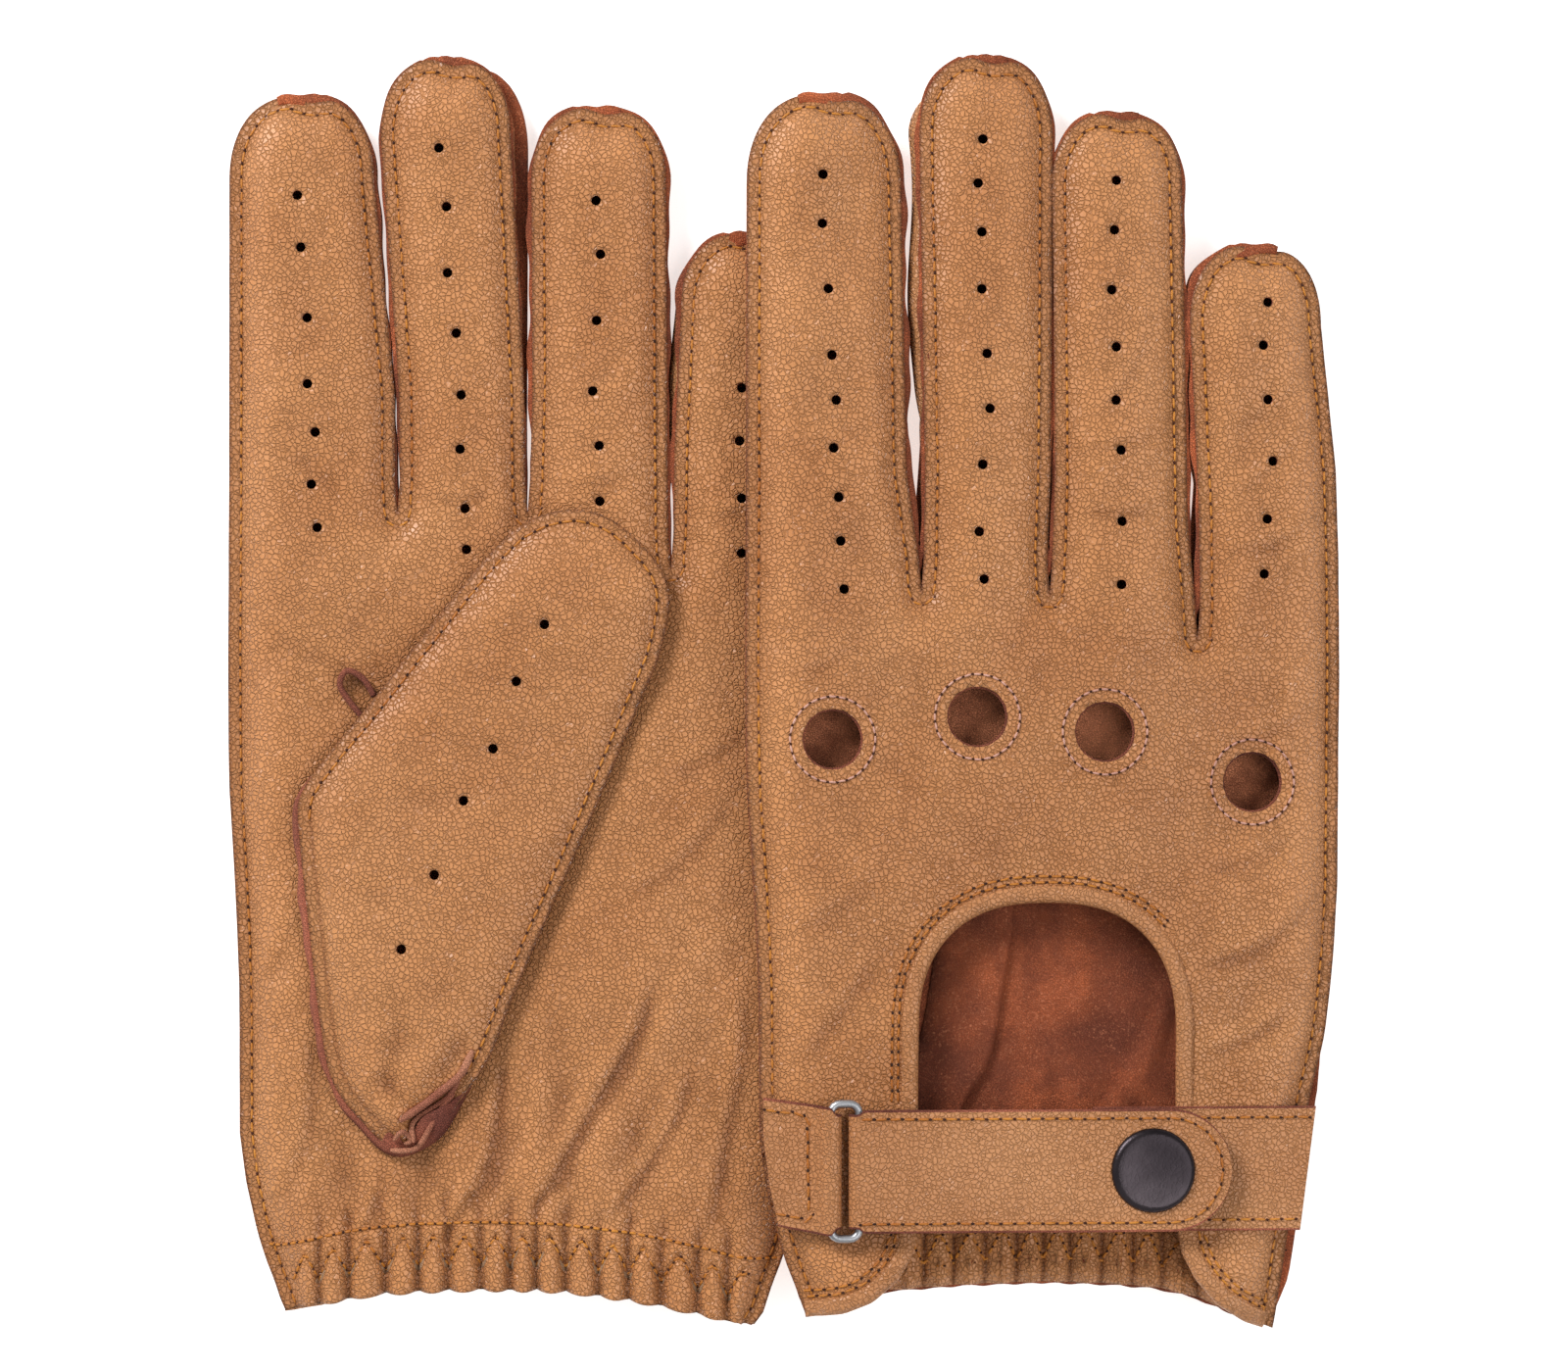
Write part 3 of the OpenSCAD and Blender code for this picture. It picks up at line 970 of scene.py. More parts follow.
def shell(
    name: str, glove: "Glove", xyz: Array, tris: Array, sign: float, t: float, marks: Dict[str, Array]
) -> bpy.types.Object:
    """A leather skin with its thickness, its flesh side and its raw rim.

    Args:
        name: the piece's name.
        glove: the glove it belongs to.
        xyz: outer points in glove millimetres.
        tris: triangles, anticlockwise in plan.
        sign: 1 if the grain side faces +z of the glove, else -1.
        t: thickness in millimetres.
        marks: values per outer point that the finishes read.
    """
    a, b, c = (xyz[tris[:, k]] for k in range(3))
    face_n = np.cross(b - a, c - a)
    n = len(xyz)
    vert_n = np.zeros((n, 3))
    for k in range(3):
        np.add.at(vert_n, tris[:, k], face_n)
    vert_n = relax(vert_n, tris, 3) * sign
    vert_n[:, :2] *= 0.8
    vert_n /= np.linalg.norm(vert_n, axis=1, keepdims=True)
    verts = np.vstack([glove.row(xyz), glove.row(xyz - t * vert_n)])
    out = tris if (sign > 0) != glove.mirrored else tris[:, ::-1]
    e = np.vstack([out[:, [0, 1]], out[:, [1, 2]], out[:, [2, 0]]])
    key = np.sort(e, axis=1)
    _, first, count = np.unique(key, axis=0, return_index=True, return_counts=True)
    rim = e[first[count == 1]]
    quads = np.column_stack([rim[:, 1], rim[:, 0], rim[:, 0] + n, rim[:, 1] + n])
    faces = out.tolist() + (out[:, ::-1] + n).tolist() + quads.tolist()
    slots = [0] * len(out) + [1] * len(out) + [2] * len(quads)
    ob = make_mesh(name, verts, faces, LEATHER_SET, slots)
    # Painted shade and highlight: fold is how far each point lies below its smoothed neighbours, so the finish darkens
    # hollows and lightens crests. It is faint near the seams.
    height = sign * xyz[:, 2]
    fold = np.clip((relax(height, tris, 14) - height) / 0.42, -1, 1)
    marks = dict(marks, fold=fold * (0.12 + 0.88 * smooth((marks["seam"] - 1.5) / 6)))
    for key_name, values in marks.items():
        attr = ob.data.attributes.new(key_name, "FLOAT", "POINT")
        attr.data.foreach_set("value", np.asarray(np.tile(values, 2), np.float32))
    return ob


def settle(
    ob: bpy.types.Object, body: str, replaces: Sequence[str] = ()
) -> bpy.types.Object:
    """Puts a finished piece on its body and hides the parts that it stands for."""
    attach(ob, body)
    if replaces:
        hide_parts(*replaces)
    return ob


# ------------------------------------------------------------------ threads


def stitch_tree() -> bpy.types.NodeTree:
    """The node tree that lays stitches and needle holes along a line."""
    old = bpy.data.node_groups.get("stitches")
    if old:
        return old
    t = bpy.data.node_groups.new("stitches", "GeometryNodeTree")
    t.interface.new_socket("Geometry", in_out="INPUT", socket_type="NodeSocketGeometry")
    for name, kind in (
        ("Pitch", "NodeSocketFloat"),
        ("Length", "NodeSocketFloat"),
        ("Radius", "NodeSocketFloat"),
        ("Hole Size", "NodeSocketFloat"),
        ("Thread", "NodeSocketMaterial"),
        ("Hole", "NodeSocketMaterial"),
    ):
        t.interface.new_socket(name, in_out="INPUT", socket_type=kind)
    t.interface.new_socket("Geometry", in_out="OUTPUT", socket_type="NodeSocketGeometry")
    n, ln = t.nodes, t.links
    gin, gout = n.new("NodeGroupInput"), n.new("NodeGroupOutput")
    curve = n.new("GeometryNodeMeshToCurve")
    ln.new(gin.outputs["Geometry"], curve.inputs["Mesh"])
    even = n.new("GeometryNodeResampleCurve")
    even.mode = "LENGTH"
    ln.new(curve.outputs["Curve"], even.inputs["Curve"])
    ln.new(gin.outputs["Pitch"], even.inputs["Length"])
    ball = n.new("GeometryNodeMeshUVSphere")
    ball.inputs["Segments"].default_value = 8
    ball.inputs["Rings"].default_value = 6
    ball.inputs["Radius"].default_value = 1.0
    shape = n.new("ShaderNodeCombineXYZ")
    ln.new(gin.outputs["Length"], shape.inputs["X"])
    ln.new(gin.outputs["Radius"], shape.inputs["Y"])
    ln.new(gin.outputs["Radius"], shape.inputs["Z"])
    size = n.new("GeometryNodeTransform")
    ln.new(ball.outputs["Mesh"], size.inputs["Geometry"])
    ln.new(shape.outputs[0], size.inputs["Scale"])
    paint = n.new("GeometryNodeSetMaterial")
    ln.new(size.outputs["Geometry"], paint.inputs["Geometry"])
    ln.new(gin.outputs["Thread"], paint.inputs["Material"])
    # Painted shade: a small dark dot half a pitch along from each stitch stands for the shade inside its needle hole.
    dot = n.new("GeometryNodeMeshIcoSphere")
    dot.inputs["Subdivisions"].default_value = 1
    dot.inputs["Radius"].default_value = 1.0
    wide = n.new("ShaderNodeMath")
    wide.operation = "MULTIPLY"
    wide.inputs[1].default_value = 1.45
    ln.new(gin.outputs["Hole Size"], wide.inputs[0])
    oval = n.new("ShaderNodeCombineXYZ")
    ln.new(wide.outputs[0], oval.inputs["X"])
    ln.new(gin.outputs["Hole Size"], oval.inputs["Y"])
    ln.new(gin.outputs["Hole Size"], oval.inputs["Z"])
    half = n.new("ShaderNodeMath")
    half.operation = "MULTIPLY"
    half.inputs[1].default_value = 0.5
    ln.new(gin.outputs["Pitch"], half.inputs[0])
    back = n.new("ShaderNodeCombineXYZ")
    ln.new(half.outputs[0], back.inputs["X"])
    move = n.new("GeometryNodeTransform")
    ln.new(dot.outputs["Mesh"], move.inputs["Geometry"])
    ln.new(back.outputs[0], move.inputs["Translation"])
    ln.new(oval.outputs[0], move.inputs["Scale"])
    dark = n.new("GeometryNodeSetMaterial")
    ln.new(move.outputs["Geometry"], dark.inputs["Geometry"])
    ln.new(gin.outputs["Hole"], dark.inputs["Material"])
    join = n.new("GeometryNodeJoinGeometry")
    ln.new(dark.outputs["Geometry"], join.inputs["Geometry"])
    ln.new(paint.outputs["Geometry"], join.inputs["Geometry"])
    tangent = n.new("GeometryNodeInputTangent")
    jitter = n.new("FunctionNodeRandomValue")
    jitter.data_type = "FLOAT_VECTOR"
    jitter.inputs["Min"].default_value = (-0.07, -0.07, -0.02)
    jitter.inputs["Max"].default_value = (0.07, 0.07, 0.02)
    jitter.inputs["Seed"].default_value = 11
    lean = n.new("ShaderNodeVectorMath")
    ln.new(tangent.outputs[0], lean.inputs[0])
    ln.new(jitter.outputs[0], lean.inputs[1])
    align = n.new("FunctionNodeAlignRotationToVector")
    align.axis = "X"
    ln.new(lean.outputs[0], align.inputs["Vector"])
    inst = n.new("GeometryNodeInstanceOnPoints")
    ln.new(even.outputs["Curve"], inst.inputs["Points"])
    ln.new(join.outputs["Geometry"], inst.inputs["Instance"])
    ln.new(align.outputs["Rotation"], inst.inputs["Rotation"])
    real = n.new("GeometryNodeRealizeInstances")
    ln.new(inst.outputs["Instances"], real.inputs["Geometry"])
    soft = n.new("GeometryNodeSetShadeSmooth")
    ln.new(real.outputs["Geometry"], soft.inputs["Geometry"])
    ln.new(soft.outputs["Geometry"], gout.inputs["Geometry"])
    return t


def run_tree(name: str, lines: Sequence[Array], tree: bpy.types.NodeTree, values: Dict) -> bpy.types.Object:
    """Runs a node tree on polylines and returns the plain mesh object.

    Args:
        name: the piece's name.
        lines: polylines in metres; a line that ends where it starts is closed.
        tree: the node tree.
        values: its inputs by name.
    """
    verts, edges = [], []
    for line in lines:
        s = len(verts)
        shut = np.linalg.norm(line[0] - line[-1]) < 1e-7
        pts = line[:-1] if shut else line
        verts += [tuple(map(float, p)) for p in pts]
        edges += [(s + i, s + i + 1) for i in range(len(pts) - 1)]
        if shut:
            edges.append((len(verts) - 1, s))
    me = bpy.data.meshes.new(name)
    me.from_pydata(verts, edges, [])
    ob = bpy.data.objects.new(name, me)
    bpy.context.scene.collection.objects.link(ob)
    mod = ob.modifiers.new("nodes", "NODES")
    mod.node_group = tree
    for item in tree.interface.items_tree:
        if item.in_out == "INPUT" and item.name in values:
            mod[item.identifier] = values[item.name]
    bake(ob)
    LOG.info("piece %s: %d faces", name, len(ob.data.polygons))
    return ob


def stitches(
    name: str,
    lines: Sequence[Array],
    thread: Finish = THREAD,
    pitch: float = STITCH_PITCH,
    radius: float = 0.22,
    hole: float = 0.26,
) -> bpy.types.Object:
    """Stitches along lines given in metres.

    Args:
        name: the piece's name.
        lines: the lines to sew along.
        thread: the thread's finish.
        pitch, radius, hole: stitch pitch, thread radius and needle hole radius in millimetres.
    """
    values = {
        "Pitch": pitch * MM,
        "Length": pitch * 0.43 * MM,
        "Radius": radius * MM,
        "Hole Size": hole * MM,
        "Thread": thread.build(),
        "Hole": NEEDLE.build(),
    }
    return run_tree(name, lines, stitch_tree(), values)


# ------------------------------------------------------------------ hand skins


# Where the ventilation holes are
BACK_HOLES = (
    (-40.6, 207.9), (-40.7, 199.0), (-39.7, 187.1), (-39.0, 175.1), (-38.2, 167.0), (-38.7, 158.3),
    (-37.8, 149.4), (-37.4, 141.5), (-36.8, 132.8), (-11.4, 214.9), (-12.3, 206.8), (-11.7, 197.8),
    (-11.7, 187.4), (-10.8, 175.6), (-10.3, 165.6), (-11.6, 155.5), (-12.3, 143.3), (-11.4, 134.7),
    (13.0, 207.5), (12.6, 198.4), (12.0, 187.4), (12.8, 177.0), (12.7, 167.3), (13.6, 158.2),
    (13.8, 145.3), (13.6, 133.8), (40.8, 185.5), (39.9, 177.6), (40.8, 167.7), (41.7, 156.5),
    (40.6, 145.9), (40.1, 135.9),
)  # fmt: skip
PALM_HOLES = (
    (-41.5, 205.0), (-40.9, 195.5), (-39.7, 182.6), (-39.6, 170.5), (-38.2, 161.7), (-38.9, 152.2),
    (-37.8, 144.3), (-15.7, 213.6), (-14.3, 202.9), (-14.1, 190.8), (-12.5, 179.8), (-11.6, 168.5),
    (-11.8, 158.6), (-10.9, 147.8), (-10.6, 140.3), (13.0, 204.0), (13.8, 194.2), (13.1, 182.1),
    (12.4, 169.2), (13.6, 159.2), (13.7, 149.1), (39.6, 169.8), (39.2, 160.1), (39.6, 149.6),
    (39.6, 139.6),
)  # fmt: skip
THUMB_HOLES = (
    (3.9, 126.4), (-1.2, 116.1), (-5.4, 103.9), (-10.7, 94.5), (-15.9, 81.1), (-21.8, 67.7),
)  # fmt: skip
HOLE_R = 0.9

# Soft creases: from, to, width and depth, in glove millimetres
PALM_CREASES = (
    ((-14, 14), (-3, 47), 2.6, 2.0), ((-7, 18), (4, 50), 3.0, -1.0), ((1, 20), (23, 60), 3.0, 1.9),
    ((12, 30), (33, 74), 4.5, -0.8), ((-30, 16), (-26, 33), 2.4, 1.3), ((16, 18), (30, 46), 2.6, 1.3),
    ((33, 16), (40, 60), 3.2, 1.3), ((20, 78), (40, 96), 4.0, 0.9), ((-46, 60), (-37, 100), 3.6, 0.8),
    ((-45, 20), (-38, 52), 3.0, 1.2), ((-34, 150), (-47, 158), 3.0, 0.7), ((4, 152), (22, 156), 2.6, 0.7),
    ((4, 168), (22, 171), 2.2, 0.5), ((-20, 150), (-4, 153), 2.4, 0.7), ((30, 146), (44, 151), 2.4, 0.8),
    ((-48, 172), (-30, 175), 2.2, 0.5), ((-48, 128), (-30, 118), 3.0, 0.5), ((26, 100), (46, 112), 3.5, 0.7),
)  # fmt: skip
BACK_CREASES = (
    ((-48, 44), (-32, 66), 3.4, 0.9), ((-46, 70), (-30, 84), 4.0, 0.6), ((29, 48), (46, 59), 2.8, 1.2),
    ((30, 64), (49, 78), 3.4, 1.1), ((28, 82), (46, 88), 3.2, 0.7), ((-50, 118), (-34, 124), 3.4, 0.6),
    ((5, 147), (24, 151), 2.4, 0.8), ((31, 140), (51, 147), 2.6, 0.8), ((3, 158), (23, 163), 2.4, 0.6),
    ((34, 150), (50, 165), 2.2, 0.7), ((36, 162), (50, 178), 2.2, 0.5), ((12, 166), (20, 192), 2.6, 0.7),
    ((6, 192), (14, 208), 2.0, 0.5), ((-30, 150), (-32, 186), 3.0, 0.7), ((-48, 160), (-30, 163), 2.2, 0.4),
    ((-20, 150), (-2, 152), 2.2, 0.4), ((36, 92), (44, 118), 3.0, -0.5), ((33, 106), (50, 112), 2.6, 0.7),
)  # fmt: skip

@dataclass
class HandSkin:
    """The back or the palm of one glove with its fingers.

    Args:
        glove: the glove it belongs to.
        palm: True for the palm.
    """

    glove: Glove
    palm: bool

    def __post_init__(self) -> None:
        """Prepares the values that the methods share."""
        self.sign = -1.0 if self.palm else 1.0
        right = self.glove.side is Side.RIGHT
        cuff = palm_cuff(right) if self.palm else arch()
        fingers = RIGHT_FINGERS if right else LEFT_FINGERS
        if not right and not self.palm:
            fingers = (fingers[0], Finger("middle", -23.0, 0.2, -12.3, 230.0, 12.6, 17), *fingers[2:])
        self.outline = hand_outline(fingers, PALM_SLITS if self.palm else BACK_SLITS, cuff, right,
                                    (0.9 if self.palm else -0.6) if right else 0.0)  # fmt: skip
        pts = self.outline.array()
        tags = self.outline.tags
        sewn = np.array([t is not Tag.OPEN for t in tags])
        level = np.array([1.75 if t is Tag.FORK else 0.85 for t in tags])
        kernel = np.ones(15) / 15
        wrap = np.concatenate([level[-15:], level, level[:15]])
        level = np.convolve(wrap, kernel, "same")[15:-15]
        self.near = Nearest(pts[sewn], level[sewn])
        drop = -1.0 if right and self.palm else 0.0
        self.holes = [(x, y - drop, HOLE_R) for x, y in (PALM_HOLES if self.palm else BACK_HOLES)]
        if not self.palm:
            self.holes += [(x, y, KNUCKLE_R) for x, y in KNUCKLES]

    def height(self, p: Array) -> Tuple[Array, Array]:
        """Height of the outer face above the seam level, and distance to the seam."""
        d, level = self.near(p)
        x, y = p[:, 0], p[:, 1]
        t = np.clip((d - 2.1) / 8.5, 0, 1)
        rise = (1 - (1 - t) ** 2.3) ** 0.72
        full = HAND_RISE + 0.0 * x
        calm = 1 - smooth((y - 10) / 6) * smooth((54 - y) / 12)
        if self.palm:
            under = smooth((self.thumb_d(p) + 4) / 8)
            calm = 1 - 0.85 * under
            full = full + calm * (0.35 + 0.45 * smooth((d - 8) / 20))
            full = full + 0.45 * calm * waves(x, y, 34, 21) * smooth(d / 10)
            creases = PALM_CREASES
        else:
            full = full + calm * (0.3 + 0.5 * smooth((d - 8) / 20))
            full = full + 0.4 * calm * waves(x, y, 30, 22) * smooth(d / 10)
            creases = BACK_CREASES
        full = full + calm * 0.08 * waves(x, y, 9, 23 + int(self.palm))
        for (x0, y0), (x1, y1), width, depth in creases:
            ux, uy = x1 - x0, y1 - y0
            size = math.hypot(ux, uy)
            s = ((x - x0) * ux + (y - y0) * uy) / size
            bend = 2.0 * np.sin(s / size * math.pi) + 0.7 * np.sin(s / 5.7 + x0)
            off = ((x - x0) * -uy + (y - y0) * ux) / size + bend
            along = smooth(s / 7 + 0.4) * smooth((size - s) / 9 + 0.3)
            width, depth = 0.62 * width, 0.36 * depth
            off = np.where(off > 0, off * 1.7, off)
            shape = np.exp(-((off / width) ** 2)) - 0.6 * np.exp(-(((off - 1.9 * width) / (1.3 * width)) ** 2))
            full = full - calm * depth * shape * along
        z = level + (full - level) * rise
        if self.palm:
            z = z + self.gathers(x, y) * smooth((d - 0.3) / 3.0)
        z = z + 0.16 * waves(x, y, 11, 31) * smooth((4 - d) / 3) * (d < 4)
        groove = np.exp(-(((d - STITCH_INSET) / 0.8) ** 2))
        return z - 0.22 * groove, d

    def thumb_d(self, p: Array) -> Array:
        """Signed distance into the thumb's plan, positive inside."""
        if not hasattr(self, "_thumb"):
            self._thumb = Nearest(THUMB)
        d, _ = self._thumb(p)
        return np.where(inside(p, THUMB), d, -d)

    def gathers(self, x: Array, y: Array) -> Array:
        """The pleats that the cuff's elastic draws in, and the folds that rise from them."""
        v = y - hem_y(x, self.glove.side is Side.RIGHT)
        ph = pleat_phase(x) + 0.9 * np.sin(y / 6 + x / 11) * smooth((v - 10) / 8)
        puff = np.abs(np.cos(ph / 2)) ** 0.6 * 3.0 - 2.2
        inner = smooth((43 - np.abs(x)) / 6)
        fade = np.where(v < 11.5, 0.85, 0.85 * smooth((20 - v) / 10)) * inner
        fade = fade * np.where(v > 11.5, 0.45 + 0.4 * np.sin(x / 5.3 + 1.0) ** 2, 1.0)
        pinch = 1 - 0.3 * np.exp(-(((v - 10.5) / 1.2) ** 2)) - 0.4 * np.exp(-(((v - 12.3) / 0.9) ** 2))
        long = np.sin(math.tau * x / 15 + 1.4 * np.sin(x / 17) + y / 30)
        long = 0.45 * np.sign(long) * np.abs(long) ** 1.3 * smooth((60 - v) / 46) * smooth((v - 6) / 10)
        vee = np.exp(-(((v - zig_v(x)) / 0.9) ** 2)) * ((v > 3.6) & (v < 10.8))
        return puff * fade * pinch + long * inner - 1.0 * vee * inner

    def build(self) -> bpy.types.Object:
        """Makes the leather and its stitching, and returns the leather."""
        g = self.glove
        plan = Plan(self.outline.array(), self.holes, fine=0.7, fine_y=24 if self.palm else -1e9)
        p, tris = plan.build()
        z, d = self.height(p)
        xyz = np.column_stack([p, self.sign * z])
        word = "palm" if self.palm else "back"
        marks = {"seam": d}
        if self.palm:
            # Painted light: the flesh side seen through the knuckle holes is painted paler, as if lit, where the
            # holes' depth shades it.
            pale_and_lit = np.zeros(len(p))
            for kx, ky in KNUCKLES:
                pale_and_lit = np.maximum(pale_and_lit, smooth((10.5 - np.hypot(p[:, 0] - kx, p[:, 1] - ky)) / 5))
            marks["pale_speck_and_light"] = 0.85 * pale_and_lit
        ob = shell(f"{g.side.value}_{word}_leather", g, xyz, tris, self.sign, LEATHER, marks)
        nodes = [f"{g.side.value}_{word}_{part}" for part in ("panel", "edge")]
        settle(ob, g.body(), nodes)
        lift = np.array([0, 0, self.sign * 0.06])
        seam = [g.row(c + lift) for c in self.clear_of_edge(contour(xyz, tris, d, STITCH_INSET))]
        threads = stitches(f"{g.side.value}_{word}_seam_stitches", seam)
        settle(threads, g.body())
        if self.palm:
            self.hem()
        else:
            self.opening_stitches(xyz, tris)
        return ob

    def clear_of_edge(self, lines: Sequence[Array], away: float = 1.6) -> List[Array]:
        """The parts of some lines that stay away from the open edges of the leather."""
        pts = self.outline.array()
        near = Nearest(pts[[t is Tag.OPEN for t in self.outline.tags]])
        parts = []
        for line in lines:
            far = near(line[:, :2])[0] > away
            cuts = np.flatnonzero(np.diff(far.astype(int))) + 1
            parts += [q for q, ok in zip(np.split(line, cuts), np.split(far, cuts)) if ok[0] and len(q) > 12]
        return parts

    def hem_height(self, p: Array) -> Array:
        """Height of the turned-in leather, puffed inwards between the outer pleats."""
        z, d = self.height(p)
        x, v = p[:, 0], p[:, 1] - hem_y(p[:, 0], self.glove.side is Side.RIGHT)
        plain = z - self.gathers(x, p[:, 1]) * smooth((d - 0.3) / 3.0)
        amp = smooth((38 - np.abs(x)) / 6)
        puffed = plain - 0.9 - 1.7 * amp * np.abs(np.sin(pleat_phase(x) / 2)) ** 0.6
        near = z - LEATHER - 0.35
        blend = smooth(v / 2.5) * smooth((12.4 - v) / 2.5)
        return near + (np.minimum(puffed, near) - near) * blend

    def hem(self) -> None:
        """The leather turned in over the elastic, with the zigzag on both sides."""
        g = self.glove
        outer = g.side is Side.RIGHT
        xs = np.linspace(-41.5, 39.5, 420)
        vs = np.linspace(0.25, 11.6, 20)
        pts = np.array([(x, hem_y(x, outer) + v) for x in xs for v in vs])
        low = np.column_stack([pts, self.sign * self.hem_height(pts)])
        m = len(vs)
        q = [(i * m + j, (i + 1) * m + j, (i + 1) * m + j + 1, i * m + j + 1)
             for i in range(len(xs) - 1) for j in range(m - 1)]  # fmt: skip
        ob = make_mesh(f"{g.side.value}_cuff_hem", g.row(low), q, LEATHER_SET)
        # Painted shade in the valleys between the pleats and a painted highlight on their puffs, through the fold
        # values that the finish reads.
        valley = 0.62 - np.abs(np.sin(pleat_phase(pts[:, 0]) / 2)) ** 0.6
        fold = np.clip(2.4 * valley, -0.5, 1) * smooth((38 - np.abs(pts[:, 0])) / 6)
        for key, values in (("seam", np.full(len(pts), 9.0)), ("fold", fold)):
            attr = ob.data.attributes.new(key, "FLOAT", "POINT")
            attr.data.foreach_set("value", np.asarray(values, np.float32))
        if g.mirrored:
            ob.data.flip_normals()
        thicken(ob, 0.25)
        settle(ob, g.body())
        xs = np.linspace(-41.5, 40.0, 900)
        path = resample(np.column_stack([xs, hem_y(xs, outer) + zig_v(xs)]), 0.4)
        z, _ = self.height(path)
        xs = np.linspace(-38, 37, 900)
        inner = resample(np.column_stack([xs, hem_y(xs, outer) + zig_v(xs, 0.5)]), 0.4)
        xs = np.linspace(-46.0, 43.4 if outer else 45.6, 180)
        row = np.column_stack([xs, hem_y(xs, outer) + 12.3])
        zz, _ = self.height(row)
        lines = [
            g.row(np.column_stack([path, self.sign * (z + 0.16)])),
            g.row(np.column_stack([inner, self.sign * (self.hem_height(inner) - 0.05)])),
            g.row(np.column_stack([row, self.sign * (zz + 0.06)])),
        ]
        ob = stitches(f"{g.side.value}_cuff_zigzag", lines, pitch=1.75, radius=0.27, hole=0.24)
        settle(ob, g.body())

    def opening_stitches(self, xyz: Array, tris: Array) -> None:
        """Rows round the wrist opening and the knuckle holes."""
        g = self.glove
        edge = resample(arch(), 0.4)
        d, _ = Nearest(edge)(xyz[:, :2])
        lines = []
        for inset in (3.1, 4.2):
            for c in contour(xyz, tris, d, inset):
                keep = (self.near(c[:, :2])[0] > 1.7) & ((c[:, 1] < 16.0) | (c[:, 1] > 41.0))
                keep &= (c[:, 0] < 21.0) | (c[:, 1] > 73.0) | (c[:, 1] < 16.0)
                for part in np.split(c, np.flatnonzero(np.diff(keep.astype(int))) + 1):
                    mx, my = part[:, 0].mean(), part[:, 1].mean()
                    hidden = 16 < my < 41 or (mx > 21 and 41 <= my < 73)
                    if len(part) > 6 and my > 0 and not hidden:
                        lines.append(g.row(part + np.array([0, 0, 0.1])))
        rows = stitches(f"{g.side.value}_opening_stitches", lines, pitch=2.3)
        settle(rows, g.body())
        rings = []
        for x, y in KNUCKLES:
            a = np.linspace(0, math.tau, 41)
            c = np.column_stack([x + 7.7 * np.cos(a), y + 7.7 * np.sin(a)])
            z, _ = self.height(c)
            z[-1] = z[0]
            rings.append(g.row(np.column_stack([c, z + 0.1])))
        ob = stitches(f"{g.side.value}_knuckle_stitches", rings, ROSE_THREAD, pitch=1.75, radius=0.22, hole=0.24)
        settle(ob, g.body())


# ------------------------------------------------------------------ sweeps


def sweep(path: Array, profile: Array, across: Array, up: Array, closed: bool = False) -> Tuple[Array, List]:
    """Sweeps a cross-section along a path.

    Args:
        path: (n, 3) points.
        profile: (m, 2) steps along the across and up directions.
        across, up: (n, 3) directions at each point.
        closed: True if the path is a loop.

    Returns:
        The points and the quads between neighbouring sections.
    """
    n, m = len(path), len(profile)
    v = path[:, None, :] + across[:, None, :] * profile[None, :, :1] + up[:, None, :] * profile[None, :, 1:]
    f = []
    for i in range(n if closed else n - 1):
        for j in range(m - 1):
            a, b = i * m + j, ((i + 1) % n) * m + j
            f.append((a, a + 1, b + 1, b))
    return v.reshape(-1, 3), f


def normals_2d(path: Array, closed: bool) -> Array:
    """Unit normals to the left of a flat path."""
    if closed:
        t = np.roll(path, -1, 0) - np.roll(path, 1, 0)
    else:
        t = np.gradient(path, axis=0)
    t = t / np.maximum(np.linalg.norm(t, axis=1, keepdims=True), 1e-9)
    return np.column_stack([-t[:, 1], t[:, 0], np.zeros(len(t))])


# How far each finger's side wall swells out of its seam: right of a finger, left of the next
SWELL = {
    Side.RIGHT: ((0.0, 1.0), (0.35, 0.3), (0.1, 0.8)),
    Side.LEFT: ((0.25, 0.2), (0.0, 0.25), (0.3, 0.9)),
}
# How far the raw edge stands out past the panel's edge on the same sides, in millimetres
RAW_OUT = {
    Side.RIGHT: ((1.0, 0.8), (0.55, 0.7), (0.6, 1.1)),
    Side.LEFT: ((0.6, 0.4), (0.5, 0.9), (0.7, 1.1)),
}


